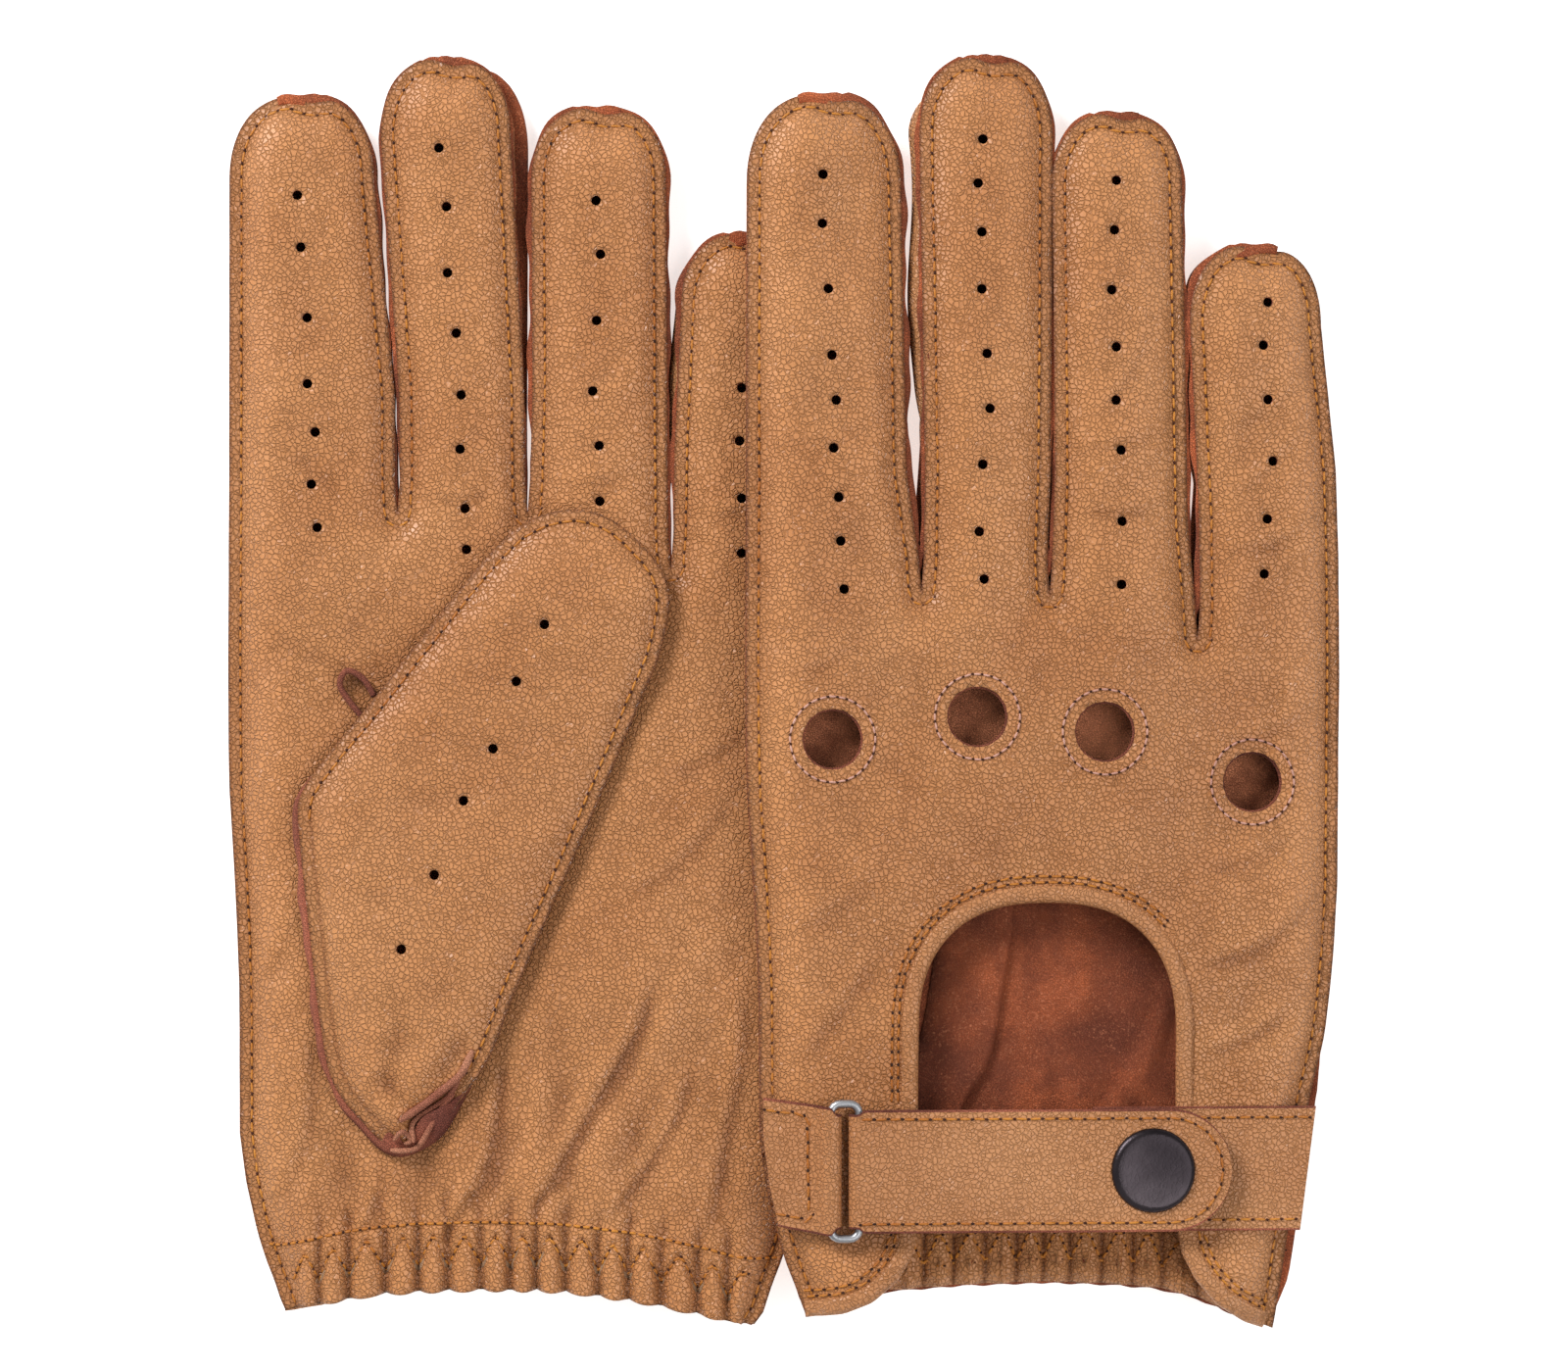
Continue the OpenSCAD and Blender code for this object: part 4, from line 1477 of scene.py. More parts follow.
def fourchette(glove: Glove, i: int) -> bpy.types.Object:
    """The folded strip between two fingers, sewn to the back and the palm."""
    fingers = LEFT_FINGERS if glove.mirrored else RIGHT_FINGERS
    f, h = fingers[i], fingers[i + 1]
    sx, sy = FORK_SLITS[i]
    right = finger_tip(f)[13:]
    left = finger_tip(h)[:20]
    down = [right[-1], (f.base_right - 0.1, sy + 22), (sx - 0.5, sy + 6), (sx - 0.15, sy + 1)]
    bottom = [(sx, sy)]
    lift = [(sx + 0.15, sy + 1), (sx + 0.5, sy + 6), (h.base_left + 0.1, sy + 22), left[0]]
    one = resample(list(right) + down[1:] + bottom, 1.0)
    two = resample(bottom + lift + list(left)[1:], 1.0)
    path = np.vstack([one[:-1], two])
    n = len(path)
    first = np.arange(n) < len(one) - 1
    out = normals_2d(path, False)
    out = np.where((np.abs(path[:, 1] - sy) < 2.5)[:, None], [0.0, 1.0, 0.0], out)
    k = np.arange(n)
    ends = np.minimum(k, k[::-1])
    high = smooth((path[:, 1] - sy - 6) / 25)
    swell = np.where(first, SWELL[glove.side][i][0], SWELL[glove.side][i][1]) * high
    swell = swell * (1 + 0.12 * np.sin(k / 7.0)) * smooth((ends - 10) / 16)
    raw = np.where(first, RAW_OUT[glove.side][i][0], RAW_OUT[glove.side][i][1])
    raw = raw * (0.75 + 0.3 * np.sin(k / 4.3 + i) + 0.2 * np.sin(k / 1.7)) * (0.35 + 0.65 * high)
    raw = np.where(ends < 9, 0.1 + 0.25 * np.sin(k * 1.1), raw)
    rows = []
    for j in range(n):
        m = -3.2 + 5.2 * swell[j]
        q = -2.3 + 0.6 * swell[j]
        e = 0.35 + 0.65 * float(smooth(np.array(ends[j] / 8)))
        prof = ((raw[j], 0.86), (-1.0, 0.9), (q, 0.9), ((q + m) / 2, 0.62), (m, 0.0), ((q + m) / 2, -0.62),
                (q, -0.9), (-1.0, -0.9), (raw[j], -0.86))  # fmt: skip
        for a, b in prof:
            rows.append((path[j, 0] + out[j, 0] * a * (e if a < 0 else 1),
                         path[j, 1] + out[j, 1] * a * (e if a < 0 else 1), b))
    q = [(a * 9 + c, a * 9 + c + 1, (a + 1) * 9 + c + 1, (a + 1) * 9 + c) for a in range(n - 1) for c in range(8)]
    name = f"{glove.side.value}_fourchette_{i + 1}_strip"
    ob = make_mesh(name, glove.row(np.array(rows)), q, TRIM_SET)
    if not glove.mirrored:
        ob.data.flip_normals()
    thicken(ob, 0.5)
    return settle(ob, glove.body(), [f"{glove.side.value}_fourchette_{i + 1}"])


def binding(glove: Glove, back: HandSkin) -> bpy.types.Object:
    """The strip folded over the edge of the wrist opening."""
    path = resample(arch(), 0.9)
    keep = path[:, 1] > -0.5
    path = path[keep]
    out = -normals_2d(path, False)
    z, _ = back.height(path + out[:, :2] * 2.0)
    under_strap = smooth((path[:, 1] - 12.5) / 4) * smooth((44.5 - path[:, 1]) / 4)
    n = len(path)
    prof = np.array([(2.5, -0.15), (2.45, 0.3), (1.9, 0.52), (1.0, 0.6), (0.1, 0.5), (-0.45, 0.15),
                     (-0.62, -0.4), (-0.45, -0.95), (0.1, -1.2), (1.6, -1.15)])  # fmt: skip
    rows = []
    for i in range(n):
        base = np.array([path[i, 0], path[i, 1], z[i]])
        squeeze = 1 - 0.75 * under_strap[i]
        for a, b in prof:
            wrinkle = 0.05 * math.sin(i * 0.9 + a) + 0.06 * math.sin(i * 2.3 + 2 * a)
            h = b * squeeze + wrinkle if b > 0 else b
            rows.append(base + out[i] * a + np.array([0, 0, h]))
    m = len(prof)
    q = [(i * m + j, (i + 1) * m + j, (i + 1) * m + j + 1, i * m + j + 1)
         for i in range(n - 1) for j in range(m - 1)]  # fmt: skip
    name = f"{glove.side.value}_opening_binding"
    ob = make_mesh(name, glove.row(np.array(rows)), q, TRIM_SET)
    if glove.mirrored:
        ob.data.flip_normals()
    thicken(ob, 0.25)
    return settle(ob, glove.body(), [f"{glove.side.value}_wrist_binding"])


def facings(glove: Glove, back: HandSkin) -> bpy.types.Object:
    """The leather rings behind the knuckle holes."""
    verts, faces = [], []
    for x, y in KNUCKLES:
        for r, drop in ((5.15, 0.85), (5.6, 0.86), (7.2, 0.9), (8.6, 0.95), (8.7, 1.35), (5.2, 1.35)):
            a = np.arange(36) / 36 * math.tau
            c = np.column_stack([x + r * np.cos(a), y + r * np.sin(a)])
            z, _ = back.height(c)
            z = np.minimum(z, z.min() + 0.4)
            verts.append(np.column_stack([c, z - drop]))
        s = len(faces) // 216 * 216
        for k in range(6):
            for i in range(36):
                a0, b0 = s + k * 36 + i, s + k * 36 + (i + 1) % 36
                a1, b1 = s + ((k + 1) % 6) * 36 + i, s + ((k + 1) % 6) * 36 + (i + 1) % 36
                faces.append((a0, a1, b1, b0))
    name = f"{glove.side.value}_knuckle_rings"
    ob = make_mesh(name, glove.row(np.vstack(verts)), faces, (RAW_EDGE,))
    if not glove.mirrored:
        ob.data.flip_normals()
    return settle(ob, glove.body(), [f"{glove.side.value}_knuckle_facings"])


def elastic(glove: Glove, palm: HandSkin) -> None:
    """The ribbed elastic inside the turned hem."""
    outer = glove.side is Side.RIGHT
    xs = np.linspace(-38, 38, 300)
    vs = np.linspace(3.8, 9.2, 7)
    pts = np.array([(x, hem_y(x, outer) + v) for x in xs for v in vs])
    z, _ = palm.height(pts)
    v = np.column_stack([pts, -(z - LEATHER - 0.12)])
    m = len(vs)
    q = [(i * m + j, (i + 1) * m + j, (i + 1) * m + j + 1, i * m + j + 1)
         for i in range(len(xs) - 1) for j in range(m - 1)]  # fmt: skip
    ob = make_mesh(f"{glove.side.value}_elastic_band", glove.row(v), q, (ELASTIC,))
    if glove.mirrored:
        ob.data.flip_normals()
    thicken(ob, 0.4, rim=0)
    settle(ob, glove.body(), [f"{glove.side.value}_cuff_elastic"])


# ------------------------------------------------------------------ thumb


# The strips at the foot of the thumb: knots, height at both ends, width
THUMB_FOOT = (
    (((-9.0, 49.5), (-10.9, 45.4), (-13.8, 42.7), (-18.0, 39.5), (-22.0, 36.8)), (0.0, 0.9), 1.5),
    (((-11.4, 43.9), (-13.9, 40.7), (-18.9, 37.3), (-20.0, 35.4), (-19.5, 32.9)), (0.1, 1.6), 1.0),
    (((-12.3, 41.6), (-14.3, 39.5), (-16.3, 36.1), (-18.8, 32.1), (-21.3, 31.3), (-23.9, 31.4)), (0.3, 0.5), 1.1),
    (((-23.2, 33.2), (-21.6, 34.8), (-20.2, 33.2), (-21.3, 32.6)), (1.5, 1.3), 0.9),
)  # fmt: skip


@dataclass
class Thumb:
    """The thumb folded over the palm, its two skins, its gusset and its stitching."""

    glove: Glove

    def __post_init__(self) -> None:
        """Prepares the values that the methods share."""
        self.near = Nearest(resample(np.vstack([THUMB, THUMB[:1]]), 0.5))

    def height(self, p: Array, front: bool) -> Tuple[Array, Array]:
        """Height of a skin's outer face from the thumb's middle, and the edge distance."""
        d, _ = self.near(p)
        x, y = p[:, 0], p[:, 1]
        t = np.clip((d - 1.9) / 9, 0, 1)
        rise = (1 - (1 - t) ** 2.2) ** 0.75
        if not front:
            return 0.55 + (THUMB_RISE - 0.6) * rise, d
        full = THUMB_RISE + 0.1 + 0.5 * smooth((d - 6) / 14)
        full = full + 0.3 * waves(x, y, 26, 41) + 0.1 * waves(x, y, 8, 42)
        for (x0, y0), (x1, y1), width, depth in (
            ((-20, 36), (-8, 54), 2.6, 1.5),
            ((-26, 40), (-20, 58), 3.0, 0.9),
            ((-16, 33), (-26, 46), 2.2, 1.1),
        ):
            ux, uy = x1 - x0, y1 - y0
            size = math.hypot(ux, uy)
            s = ((x - x0) * ux + (y - y0) * uy) / size
            off = ((x - x0) * -uy + (y - y0) * ux) / size
            along = smooth(s / 6 + 0.5) * smooth((size - s) / 9 + 0.2)
            full = full - depth * np.exp(-((off / width) ** 2)) * along
        z = 0.7 + (full - 0.7) * rise
        groove = np.exp(-(((d - 2.2) / 0.8) ** 2))
        foot = (x + 15.3) * 0.55 - (y - 40.6) * 0.83
        z = z - 0.5 * smooth((foot + 1.2) / 2.2) * smooth((y - 24) / 6) * smooth((-8 - x) / 5)
        hollow = np.hypot((x + 17.6) * 0.62 + (y - 37.4) * 0.78, 2.6 * ((x + 17.6) * 0.78 - (y - 37.4) * 0.62))
        z = z - 1.1 * smooth((6.6 - hollow) / 4.2)
        return z - 0.2 * groove, d

    def build(self) -> None:
        """Makes every piece of the thumb."""
        g = self.glove
        line = resample(np.vstack([THUMB, THUMB[:1]]), 0.9)[:-1]
        for front in (True, False):
            holes = [(x, y, HOLE_R) for x, y in THUMB_HOLES] if front else []
            p, tris = Plan(line, holes).build()
            z, d = self.height(p, front)
            s = 1.0 if front else -1.0
            xyz = np.column_stack([p, -(THUMB_MID + s * z)])
            name = f"{g.side.value}_thumb_{'outer' if front else 'inner'}_leather"
            ob = shell(name, g, xyz, tris, -s, LEATHER if front else 0.5, {"seam": d})
            node = f"{g.side.value}_thumb_{'front' if front else 'back'}"
            settle(ob, g.body(), [node])
            if not front:
                continue
            lines = []
            for c in contour(xyz, tris, d, 2.2):
                keep = ~((c[:, 0] < -30) & (c[:, 1] < 92)) & ~((c[:, 1] < 42) & (c[:, 0] < -13))
                cuts = np.flatnonzero(np.diff(keep.astype(int))) + 1
                for part, ok in zip(np.split(c, cuts), [k[0] for k in np.split(keep, cuts)]):
                    if ok and len(part) > 12:
                        lines.append(g.row(part - np.array([0, 0, 0.06])))
            threads = stitches(f"{g.side.value}_thumb_stitches", lines)
            settle(threads, g.body())
        self.gusset()
        self.loop()
        self.foot()

    def gusset(self) -> None:
        """The folded strip that shows its raw edge along the thumb's lower left side."""
        g = self.glove
        sel = THUMB[(THUMB[:, 0] < -9) & (THUMB[:, 1] < 99)]
        order = np.argsort(np.arctan2(sel[:, 1] - 70, sel[:, 0] + 5))
        pts = sel[order]
        start = np.argmax(np.linalg.norm(pts - np.roll(pts, 1, 0), axis=1))
        pts = resample(np.roll(pts, -start, 0), 1.2)
        out = normals_2d(pts, False)
        if out[len(out) // 2, 0] > 0:
            out = -out
        n = len(pts)
        ease = smooth(np.minimum(np.arange(n), np.arange(n)[::-1]) / 8)
        wob = 1 + 0.25 * np.sin(np.arange(n) / 2.7) + 0.2 * np.sin(np.arange(n) / 1.3)
        path = np.column_stack([pts, np.full(n, -(THUMB_MID - 0.35))])
        prof = np.array([(-3.0, 0.7), (-1.0, 0.5), (0.5, 0.25), (1.0, 0.0), (0.4, -0.35), (-1.2, -0.5), (-3.0, -0.6)])
        up = np.tile([0.0, 0.0, -1.0], (n, 1))
        v, q = sweep(path, prof, out * (ease * wob)[:, None], up)
        ob = make_mesh(f"{g.side.value}_thumb_gusset", g.row(v), q, (RAW_EDGE, FLESH, RAW_EDGE))
        thicken(ob, 0.45, offset=0.0)
        settle(ob, g.body())

    def foot(self) -> None:
        """The raw strips that twist together where the thumb's seam ends."""
        g = self.glove
        verts, faces = [], []
        for knots, high, wide in THUMB_FOOT:
            path = spline(knots, closed=False, n=6)
            n = len(path)
            z, _ = self.height(path, True)
            lift = np.linspace(high[0], high[1], n) + 0.12 * np.sin(np.arange(n) / 1.7)
            p3 = np.column_stack([path, -(THUMB_MID + z + lift)])
            prof = np.array([(-0.5, 0.5), (-0.42, -0.35), (0.0, -0.5), (0.42, -0.3), (0.5, 0.6), (0.0, 0.7), (-0.5, 0.5)])
            taper = 0.55 + 0.45 * smooth(np.minimum(np.arange(n), np.arange(n)[::-1]) / 3)
            out = normals_2d(path, False) * (wide * taper)[:, None]
            v, q = sweep(p3, prof, out, np.tile([0.0, 0.0, 1.0], (n, 1)))
            m, s = len(prof), sum(len(k) for k in verts)
            q += [tuple(range(m - 1)), tuple(reversed(range((n - 1) * m, n * m - 1)))]
            verts.append(v)
            faces += [tuple(k + s for k in f) for f in q]
        ob = make_mesh(f"{g.side.value}_thumb_foot", g.row(np.vstack(verts)), faces, (PALE_EDGE,))
        fix_normals(ob)
        settle(ob, g.body())

    def loop(self) -> None:
        """The small quirk loop that sticks out beside the thumb."""
        g = self.glove
        path = spline([(-29.0, 109.5), (-31.6, 112.5), (-33.4, 115.6), (-32.2, 118.0), (-29.4, 116.6), (-27.4, 113.4)],
                      closed=False, n=6)  # fmt: skip
        n = len(path)
        p3 = np.column_stack([path, np.full(n, -(HAND_RISE + 1.6))])
        out = normals_2d(path, False)
        prof = np.array([(0.55, -0.9), (0.7, 0.0), (0.55, 0.9), (-0.3, 1.0), (-0.45, 0.0), (-0.3, -0.9), (0.55, -0.9)])
        up = np.tile([0.0, 0.0, 1.0], (n, 1))
        v, q = sweep(p3, prof, out, up)
        m = len(prof)
        q += [tuple(range(m - 1)), tuple(reversed(range((n - 1) * m, n * m - 1)))]
        ob = make_mesh(f"{g.side.value}_thumb_quirk", g.row(v), q, (RAW_EDGE,))
        fix_normals(ob)
        settle(ob, g.body())


def fix_normals(ob: bpy.types.Object) -> None:
    """Merges doubles and points every face of a closed shell outwards."""
    bm = bmesh.new()
    bm.from_mesh(ob.data)
    bmesh.ops.remove_doubles(bm, verts=bm.verts, dist=1e-6)
    bmesh.ops.recalc_face_normals(bm, faces=bm.faces)
    bm.to_mesh(ob.data)
    bm.free()


# ------------------------------------------------------------------ strap parts


def ribbon(profile: Array, half: Callable[[Array], Array], rows: int = 14) -> Tuple[Array, List]:
    """A leather band: a side-view line, as wide as half says at each point.

    Args:
        profile: (n, 2) side-view points (x, outward).
        half: half width for each side-view point's arc length.
        rows: how many strips across.
    """
    s = np.concatenate([[0], np.cumsum(np.linalg.norm(np.diff(profile, axis=0), axis=1))])
    w = half(s)
    t = np.concatenate([[-1, -0.965], np.linspace(-0.93, 0.93, rows - 3), [0.965, 1]])
    v = [(x, STRAP_Y + k * w[i], z) for i, (x, z) in enumerate(profile) for k in t]
    m = rows + 1
    q = [(i * m + j, i * m + j + 1, (i + 1) * m + j + 1, (i + 1) * m + j)
         for i in range(len(profile) - 1) for j in range(rows)]  # fmt: skip
    return np.array(v), q


def bevel_edges(ob: bpy.types.Object, width: float) -> None:
    """Rounds the sharp edges of a thick sheet."""
    m = ob.modifiers.new("soft_edge", "BEVEL")
    m.width = width * MM
    m.segments = 2
    m.limit_method = "ANGLE"
    m.angle_limit = math.radians(50)
    bake(ob)


@dataclass
class Wrist:
    """The strap, its ring, its tabs and its snap."""

    glove: Glove

    def place(self, ob_name: str, v: Array, q: Sequence, mats: Sequence[Finish], t: float) -> bpy.types.Object:
        """Makes a thick leather piece from a sheet, with its outer face kept outward."""
        m = max(q[0]) - 1
        slots = [2 if min(f) % m in (0, m - 2) else 0 for f in q]
        ob = make_mesh(ob_name, self.glove.row(v, soft=False), q, mats, slots)
        if not self.glove.mirrored:
            ob.data.flip_normals()
        thicken(ob, t, offset=0.0)
        bevel_edges(ob, 0.14)
        return ob

    @staticmethod
    def loop_line(x: float, angles: Array) -> List[Tuple[float, float]]:
        """The side view of leather folded tightly round a bar at x."""
        c, t = np.cos(angles), np.sin(angles)
        r = LOOP_MID + 0.08
        px = x + r * np.sign(c) * np.abs(c) ** 0.75
        return list(zip(px, BAR_Z + LOOP_MID * np.sign(t) * np.abs(t) ** 0.75))

    def tab(self) -> None:
        """The tab that holds the ring."""
        a = np.linspace(-math.pi / 2, math.pi * 0.86, 16)
        loop = self.loop_line(BAR_L, a)
        low = [(x, BASE_Z + 0.4) for x in np.linspace(-51.5, -42.5, 10)]
        top = [(x, BASE_Z + 1.42) for x in np.linspace(-43.2, -51.8, 10)]
        prof = np.array(low + [(-41.0, BASE_Z + 0.5)] + loop + [(-42.0, BASE_Z + 1.75)] + top)
        prof = np.array(prof)

        def half(s: Array) -> Array:
            """Half the width of the band along its side view."""
            fold = np.arange(len(prof)) < len(low) + 1 + np.count_nonzero(a < 1.25)
            x = prof[:, 0]
            return 11.5 - 1.3 * np.maximum(smooth((x + 42.6) / 2.4) * fold, smooth((x - BAR_L + 0.2) / 1.2))

        v, q = ribbon(prof, half)
        g = self.glove
        v[:, :2] = self.skew(v[:, :2])
        ob = self.place(f"{g.side.value}_tab_leather", v, [f[::-1] for f in q], TRIM_SET, 0.78)
        settle(ob, g.body(), [f"{g.side.value}_ring_tab"])
        z = BASE_Z + 1.42 + 0.48
        box = [(-50.3, 19.0), (-43.6, 19.0), (-43.6, 37.6), (-50.3, 37.6)]
        line = self.skew(resample(box, 0.5))
        pts = g.row(np.column_stack([line, np.full(len(line), z)]), soft=False)
        settle(stitches(f"{g.side.value}_tab_stitches", [pts]), g.body())

    @staticmethod
    def skew(p: Array) -> Array:
        """Lets the tab rise to its sewn end and follow the glove's side there."""
        x, y = p[:, 0].copy(), p[:, 1].copy()
        far = np.clip((-39.5 - x) / 12.3, 0, 1)
        y = y + 1.7 * far
        edge = -side_x(y, False) + 0.3
        x = x + (edge + 51.8) * far**2
        return np.column_stack([x, y])

    def base(self) -> None:
        """The tab under the snap, sewn to the thumb side of the opening."""
        xs = np.concatenate([np.linspace(8.2, 44, 30), np.linspace(44.6, 47.4, 5)])
        prof = np.column_stack([xs, np.full(len(xs), BASE_Z + 0.4)])
        v, q = ribbon(prof, lambda s: np.full(len(s), 11.2))
        lean = (v[:, 0] - 8) / 39.4 * (v[:, 1] - STRAP_Y) / 11.2
        v[:, 0] += np.clip(lean, -1, 1) * 1.5
        g = self.glove
        ob = self.place(f"{g.side.value}_base_leather", v, q, TRIM_SET, 0.78)
        settle(ob, g.body(), [f"{g.side.value}_strap_base"])
        lines = []
        for y, end in ((19.0, 43.9), (37.4, 46.5)):
            line = np.column_stack([np.linspace(9.5, end, 90), np.full(90, y)])
            lines.append(g.row(np.column_stack([line, np.full(90, BASE_Z + 0.88)]), soft=False))
        settle(stitches(f"{g.side.value}_base_stitches", lines), g.body())

    def strap(self) -> None:
        """The strap, folded round the ring's bar and held by the snap."""
        a = np.linspace(math.radians(20), math.radians(-270), 26)
        loop = self.loop_line(BAR_R, a)
        tail = [(x, BAR_Z + 0.55) for x in np.linspace(-23.5, BAR_R + 2.2, 9)]
        run = np.linspace(BAR_R + 0.7, TIP_X, 90)
        run = np.concatenate([run[run < TIP_X - 11], TIP_X - 11 + 11 * np.sin(np.linspace(0.05, 0.995, 18) * math.pi / 2)])
        top = [(x, STRAP_Z + 0.4) for x in run]
        prof = np.array(tail + loop + top)

        def half(s: Array) -> Array:
            """Half the width of the band along its side view."""
            x = prof[:, 0]
            fold = np.arange(len(prof)) < len(tail) + np.count_nonzero(a > -4.4)
            w = 11.0 - 0.8 * np.maximum(smooth((-30.5 - x) / 2.2) * fold, smooth((BAR_R + 0.9 - x) / 1.2))
            end = np.clip(x - (TIP_X - 11), 0, 10.99)
            return np.minimum(w, np.sqrt(np.maximum(121 - end**2, 0.04)))

        v, q = ribbon(prof, half, 16)
        soft = 0.10 * np.sin(v[:, 0] / 7.5) + 0.06 * np.sin(v[:, 1] / 3.0 + v[:, 0] / 12)
        calm = smooth((v[:, 0] + 28) / 8) * smooth((np.hypot(v[:, 0] - SNAP_X, v[:, 1] - STRAP_Y) - 8) / 5)
        v[:, 2] += np.where(v[:, 2] > STRAP_Z, soft * calm, 0)
        g = self.glove
        ob = self.place(f"{g.side.value}_strap_leather", v, q, TRIM_SET, 0.78)
        body = g.body("strap_body")
        settle(ob, body, [f"{g.side.value}_strap"])
        r = 9.35
        arc = [(TIP_X - 11 + r * math.sin(t), STRAP_Y + r * math.cos(t)) for t in np.linspace(0, math.pi, 40)]
        line = [(-33.0, STRAP_Y + r)] + arc + [(-33.0, STRAP_Y - r)]
        line = resample(line, 0.5)
        z = STRAP_Z + LEATHER + 0.08
        lift = 0.10 * np.sin(line[:, 0] / 7.5) + 0.06 * np.sin(line[:, 1] / 3.0 + line[:, 0] / 12)
        far = smooth((line[:, 0] + 28) / 8)
        far = far * smooth((np.hypot(line[:, 0] - SNAP_X, line[:, 1] - STRAP_Y) - 8) / 5)
        pts = g.row(np.column_stack([line, z + lift * far]), soft=False)
        settle(stitches(f"{g.side.value}_strap_stitches", [pts]), body)

    def ring(self) -> None:
        """The oval ring between the tab and the strap."""
        g = self.glove
        wx, wy = (RING_W - WIRE_D) / 2, (STRAP_W + 3.7 - WIRE_D) / 2
        c = 1.7
        pts = []
        for q in range(4):
            sx = 1 if q in (0, 3) else -1
            sy = 1 if q < 2 else -1
            for t in np.linspace(q * math.pi / 2, (q + 1) * math.pi / 2, 9):
                pts.append((sx * (wx - c) + c * math.cos(t), sy * (wy - c) + c * math.sin(t)))
        pts = resample(pts + pts[:1], 0.7)[:-1]
        out = normals_2d(pts, True)
        path = np.column_stack([pts[:, 0] + BAR_L + wx, pts[:, 1] + STRAP_Y, np.full(len(pts), BAR_Z)])
        a = np.linspace(0, math.tau, 15)
        r = WIRE_D / 2
        prof = np.column_stack([r * np.cos(a), r * np.sin(a)])
        v, q = sweep(path, prof, out, np.tile([0.0, 0.0, 1.0], (len(path), 1)), closed=True)
        ob = make_mesh(f"{g.side.value}_ring_wire", g.row(v, soft=False), q, (STEEL,))
        fix_normals(ob)
        settle(ob, g.body("ring"), [f"{g.side.value}_oval_ring"])

    def lathe(self, name: str, prof: Sequence, mat: Finish, body: str, node: str) -> None:
        """A turned snap part from its (radius, height) profile, closed on the axis."""
        g = self.glove
        n = 64
        a = np.arange(n) / n * math.tau
        p = np.asarray(prof, float)
        v = [(SNAP_X + r * math.cos(t), STRAP_Y + r * math.sin(t), z) for r, z in p for t in a]
        q = [(k * n + i, k * n + (i + 1) % n, (k + 1) * n + (i + 1) % n, (k + 1) * n + i)
             for k in range(len(p) - 1) for i in range(n)]  # fmt: skip
        ob = make_mesh(name, g.row(np.array(v), soft=False), q, (mat,))
        fix_normals(ob)
        settle(ob, body, [node])

    def snap(self) -> None:
        """Cap and socket on the strap, stud on the base."""
        s = self.glove.side.value
        strap = self.glove.body("strap_body")
        z = CAP_Z
        cap = [(0.001, z + 0.9), (2.5, z + 0.91), (5.4, z + 0.96), (6.3, z + 0.98), (6.75, z + 0.93), (7.2, z + 0.7),
               (7.5, z + 0.4), (7.6, z + 0.15), (7.5, z), (1.15, z), (1.15, STRAP_Z), (0.001, STRAP_Z)]  # fmt: skip
        self.lathe(f"{s}_cap_metal", cap, GUNMETAL, strap, f"{s}_snap_cap")
        top, low = STRAP_Z - GAP, BASE_Z + LEATHER + GAP + 0.7
        socket = [(0.001, top), (4.4, top), (4.8, top - 0.25), (4.8, low + 0.3), (4.5, low), (2.5, low),
                  (2.1, low + 0.3), (2.1, top - 0.4), (0.001, top - 0.4)]  # fmt: skip
        self.lathe(f"{s}_socket_metal", socket, STEEL, strap, f"{s}_snap_socket")
        f = BASE_Z + LEATHER + GAP
        k = STRAP_Z - GAP - 0.7
        stud = [(0.001, k), (1.2, k), (1.65, k - 0.3), (1.4, f + 0.5), (3.9, f + 0.4), (4.5, f + 0.2), (4.5, f),
                (1.2, f), (1.2, BASE_Z - GAP), (4.0, BASE_Z - GAP), (4.0, BASE_Z - 0.4), (3.6, BASE_Z - 0.55),
                (0.001, BASE_Z - 0.55)]  # fmt: skip
        self.lathe(f"{s}_stud_metal", stud, STEEL, self.glove.body(), f"{s}_snap_stud")

    def build(self) -> None:
        """Makes every piece at the wrist."""
        self.tab()
        self.base()
        self.strap()
        self.ring()
        self.snap()


def thumb_flap(glove: Glove, palm: HandSkin) -> None:
    """The edge of the thumb's seam that shows on the flesh side inside the opening."""
    line = spline([(-6.0, 82), (-5.9, 72), (-7.3, 62), (-10, 48), (-14.5, 40), (-18, 30)], closed=False, n=8)
    out = normals_2d(line, False)
    if out[len(out) // 2, 0] > 0:
        out = -out
    n = len(line)
    z, _ = palm.height(line)
    prof = np.array([(0.0, 0.05), (0.1, 0.9), (0.9, 1.15), (4.5, 1.05), (9.5, 0.55), (13.0, 0.05)])
    path = np.column_stack([line, -(z - LEATHER)])
    v, q = sweep(path, prof, out, np.tile([0.0, 0.0, 1.0], (n, 1)))
    ob = make_mesh(f"{glove.side.value}_thumb_seam_flap", glove.row(v), q, (FLESH, FLESH, RAW_EDGE))
    if not glove.mirrored:
        ob.data.flip_normals()
    thicken(ob, 0.3)
    settle(ob, glove.body())


# ------------------------------------------------------------------ studio


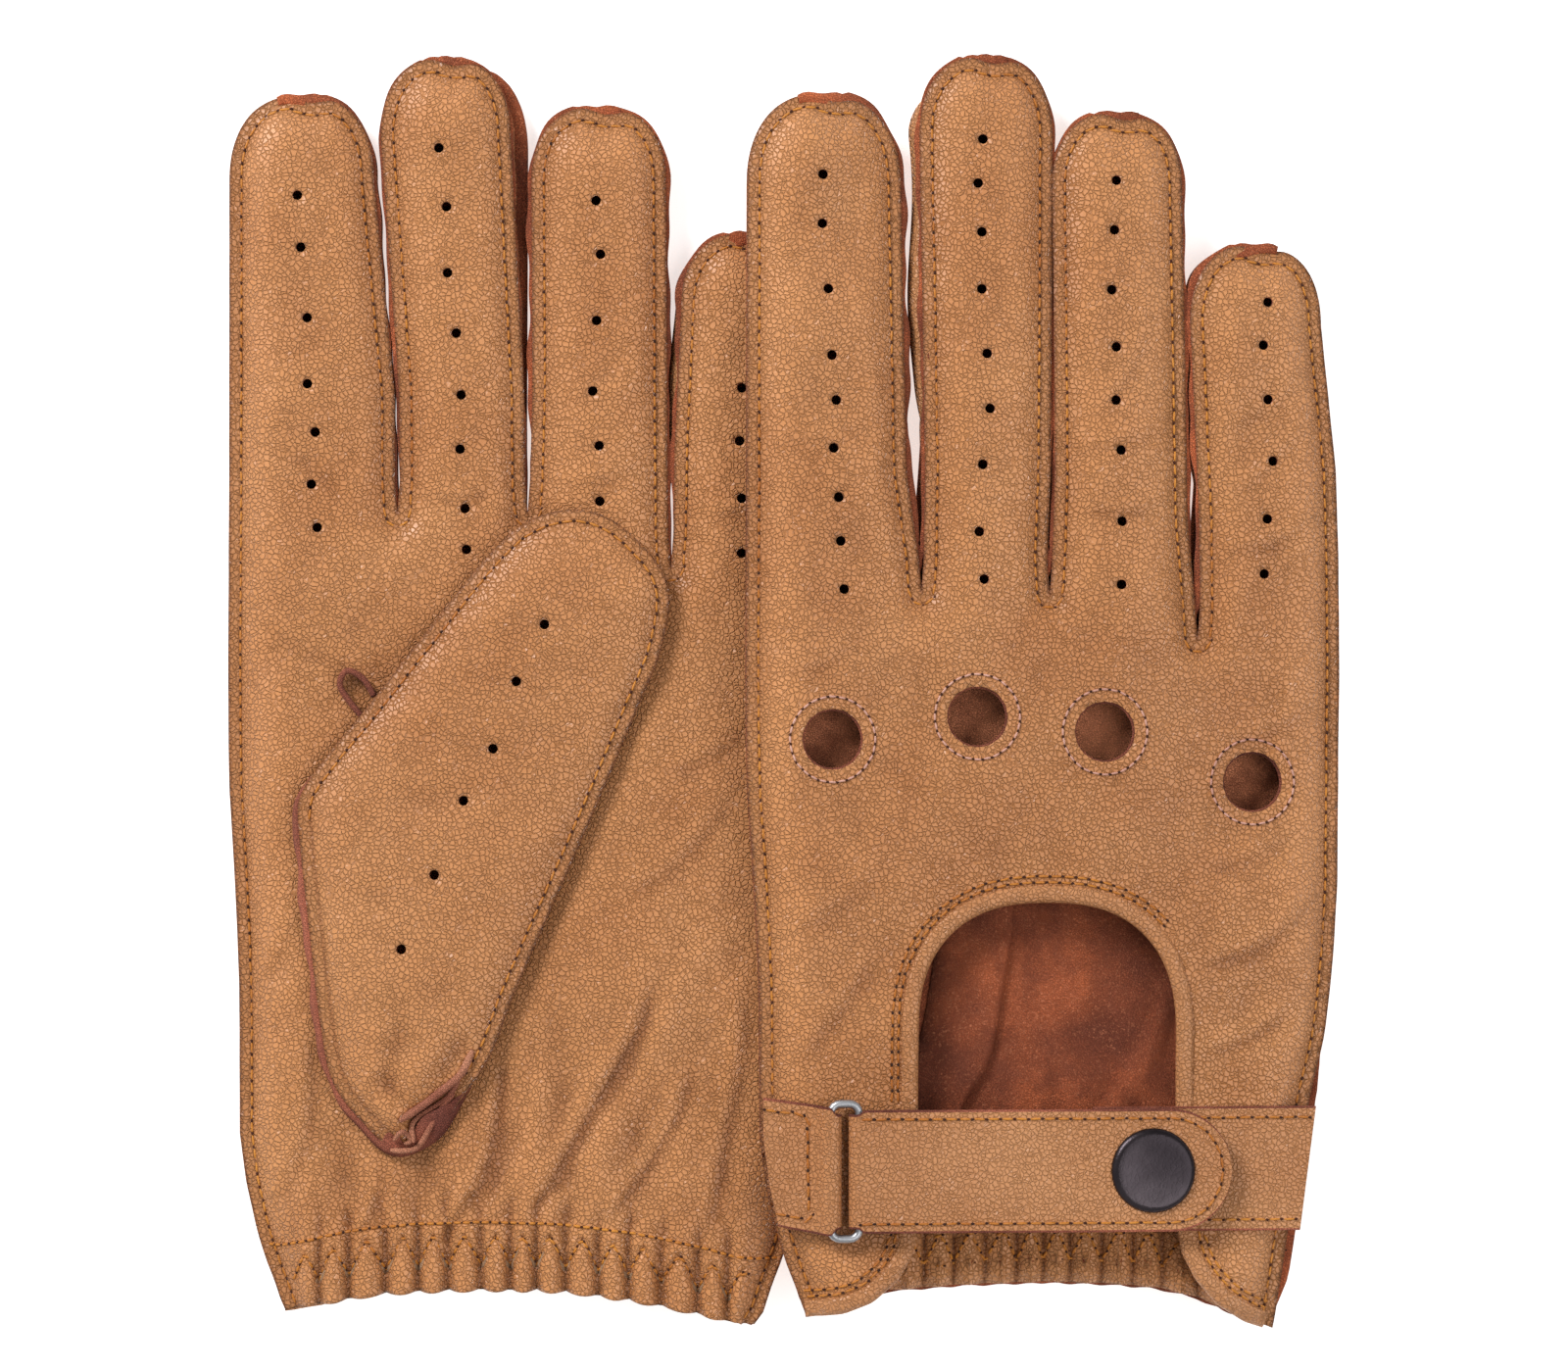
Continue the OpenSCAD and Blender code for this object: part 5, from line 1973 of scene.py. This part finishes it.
def studio() -> None:
    """Plain pale floor, soft light and the camera that looks straight down."""
    scene = bpy.context.scene
    scene.view_settings.view_transform = "Standard"
    world = bpy.data.worlds.new("soft_white")
    world.use_nodes = True
    bg = world.node_tree.nodes["Background"]
    bg.inputs["Color"].default_value = (1, 1, 1, 1)
    bg.inputs["Strength"].default_value = 0.36
    scene.world = world
    me = bpy.data.meshes.new("floor")
    s = 3.0
    me.from_pydata([(-s, -s, -0.0004), (s, -s, -0.0004), (s, s, -0.0004), (-s, s, -0.0004)], [], [(0, 1, 2, 3)])
    mat = bpy.data.materials.new("floor_white")
    mat.use_nodes = True
    b = mat.node_tree.nodes["Principled BSDF"]
    b.inputs["Base Color"].default_value = (0.93, 0.93, 0.93, 1)
    b.inputs["Roughness"].default_value = 0.9
    b.inputs["Emission Color"].default_value = (1, 1, 1, 1)
    b.inputs["Emission Strength"].default_value = 0.6
    me.materials.append(mat)
    floor = bpy.data.objects.new("floor", me)
    scene.collection.objects.link(floor)
    for name, loc, size, power in (
        ("key", (-0.75, 0.8, 0.8), 0.5, 16.5),
        ("fill", (0.8, -0.2, 1.2), 1.2, 8.5),
    ):
        data = bpy.data.lights.new(name, "AREA")
        data.energy = power
        data.size = size
        lamp = bpy.data.objects.new(name, data)
        lamp.location = loc
        lamp.rotation_euler = (-Vector(loc)).to_track_quat("-Z", "Y").to_euler()
        scene.collection.objects.link(lamp)
    cam_data = bpy.data.cameras.new("camera")
    cam_data.lens = 100
    cam_data.sensor_width = 36
    cam = bpy.data.objects.new("camera", cam_data)
    cam.location = (0.0, 0.0002, 0.8025)
    scene.collection.objects.link(cam)
    scene.camera = cam


def main() -> None:
    """Builds both gloves and the studio."""
    for side in (Side.LEFT, Side.RIGHT):
        glove = Glove(side)
        back = HandSkin(glove, palm=False)
        palm = HandSkin(glove, palm=True)
        back.build()
        palm.build()
        for i in range(3):
            fourchette(glove, i)
        binding(glove, back)
        facings(glove, back)
        elastic(glove, palm)
        thumb_flap(glove, palm)
        Thumb(glove).build()
        Wrist(glove).build()
    studio()


if __name__ == "__main__":
    main()
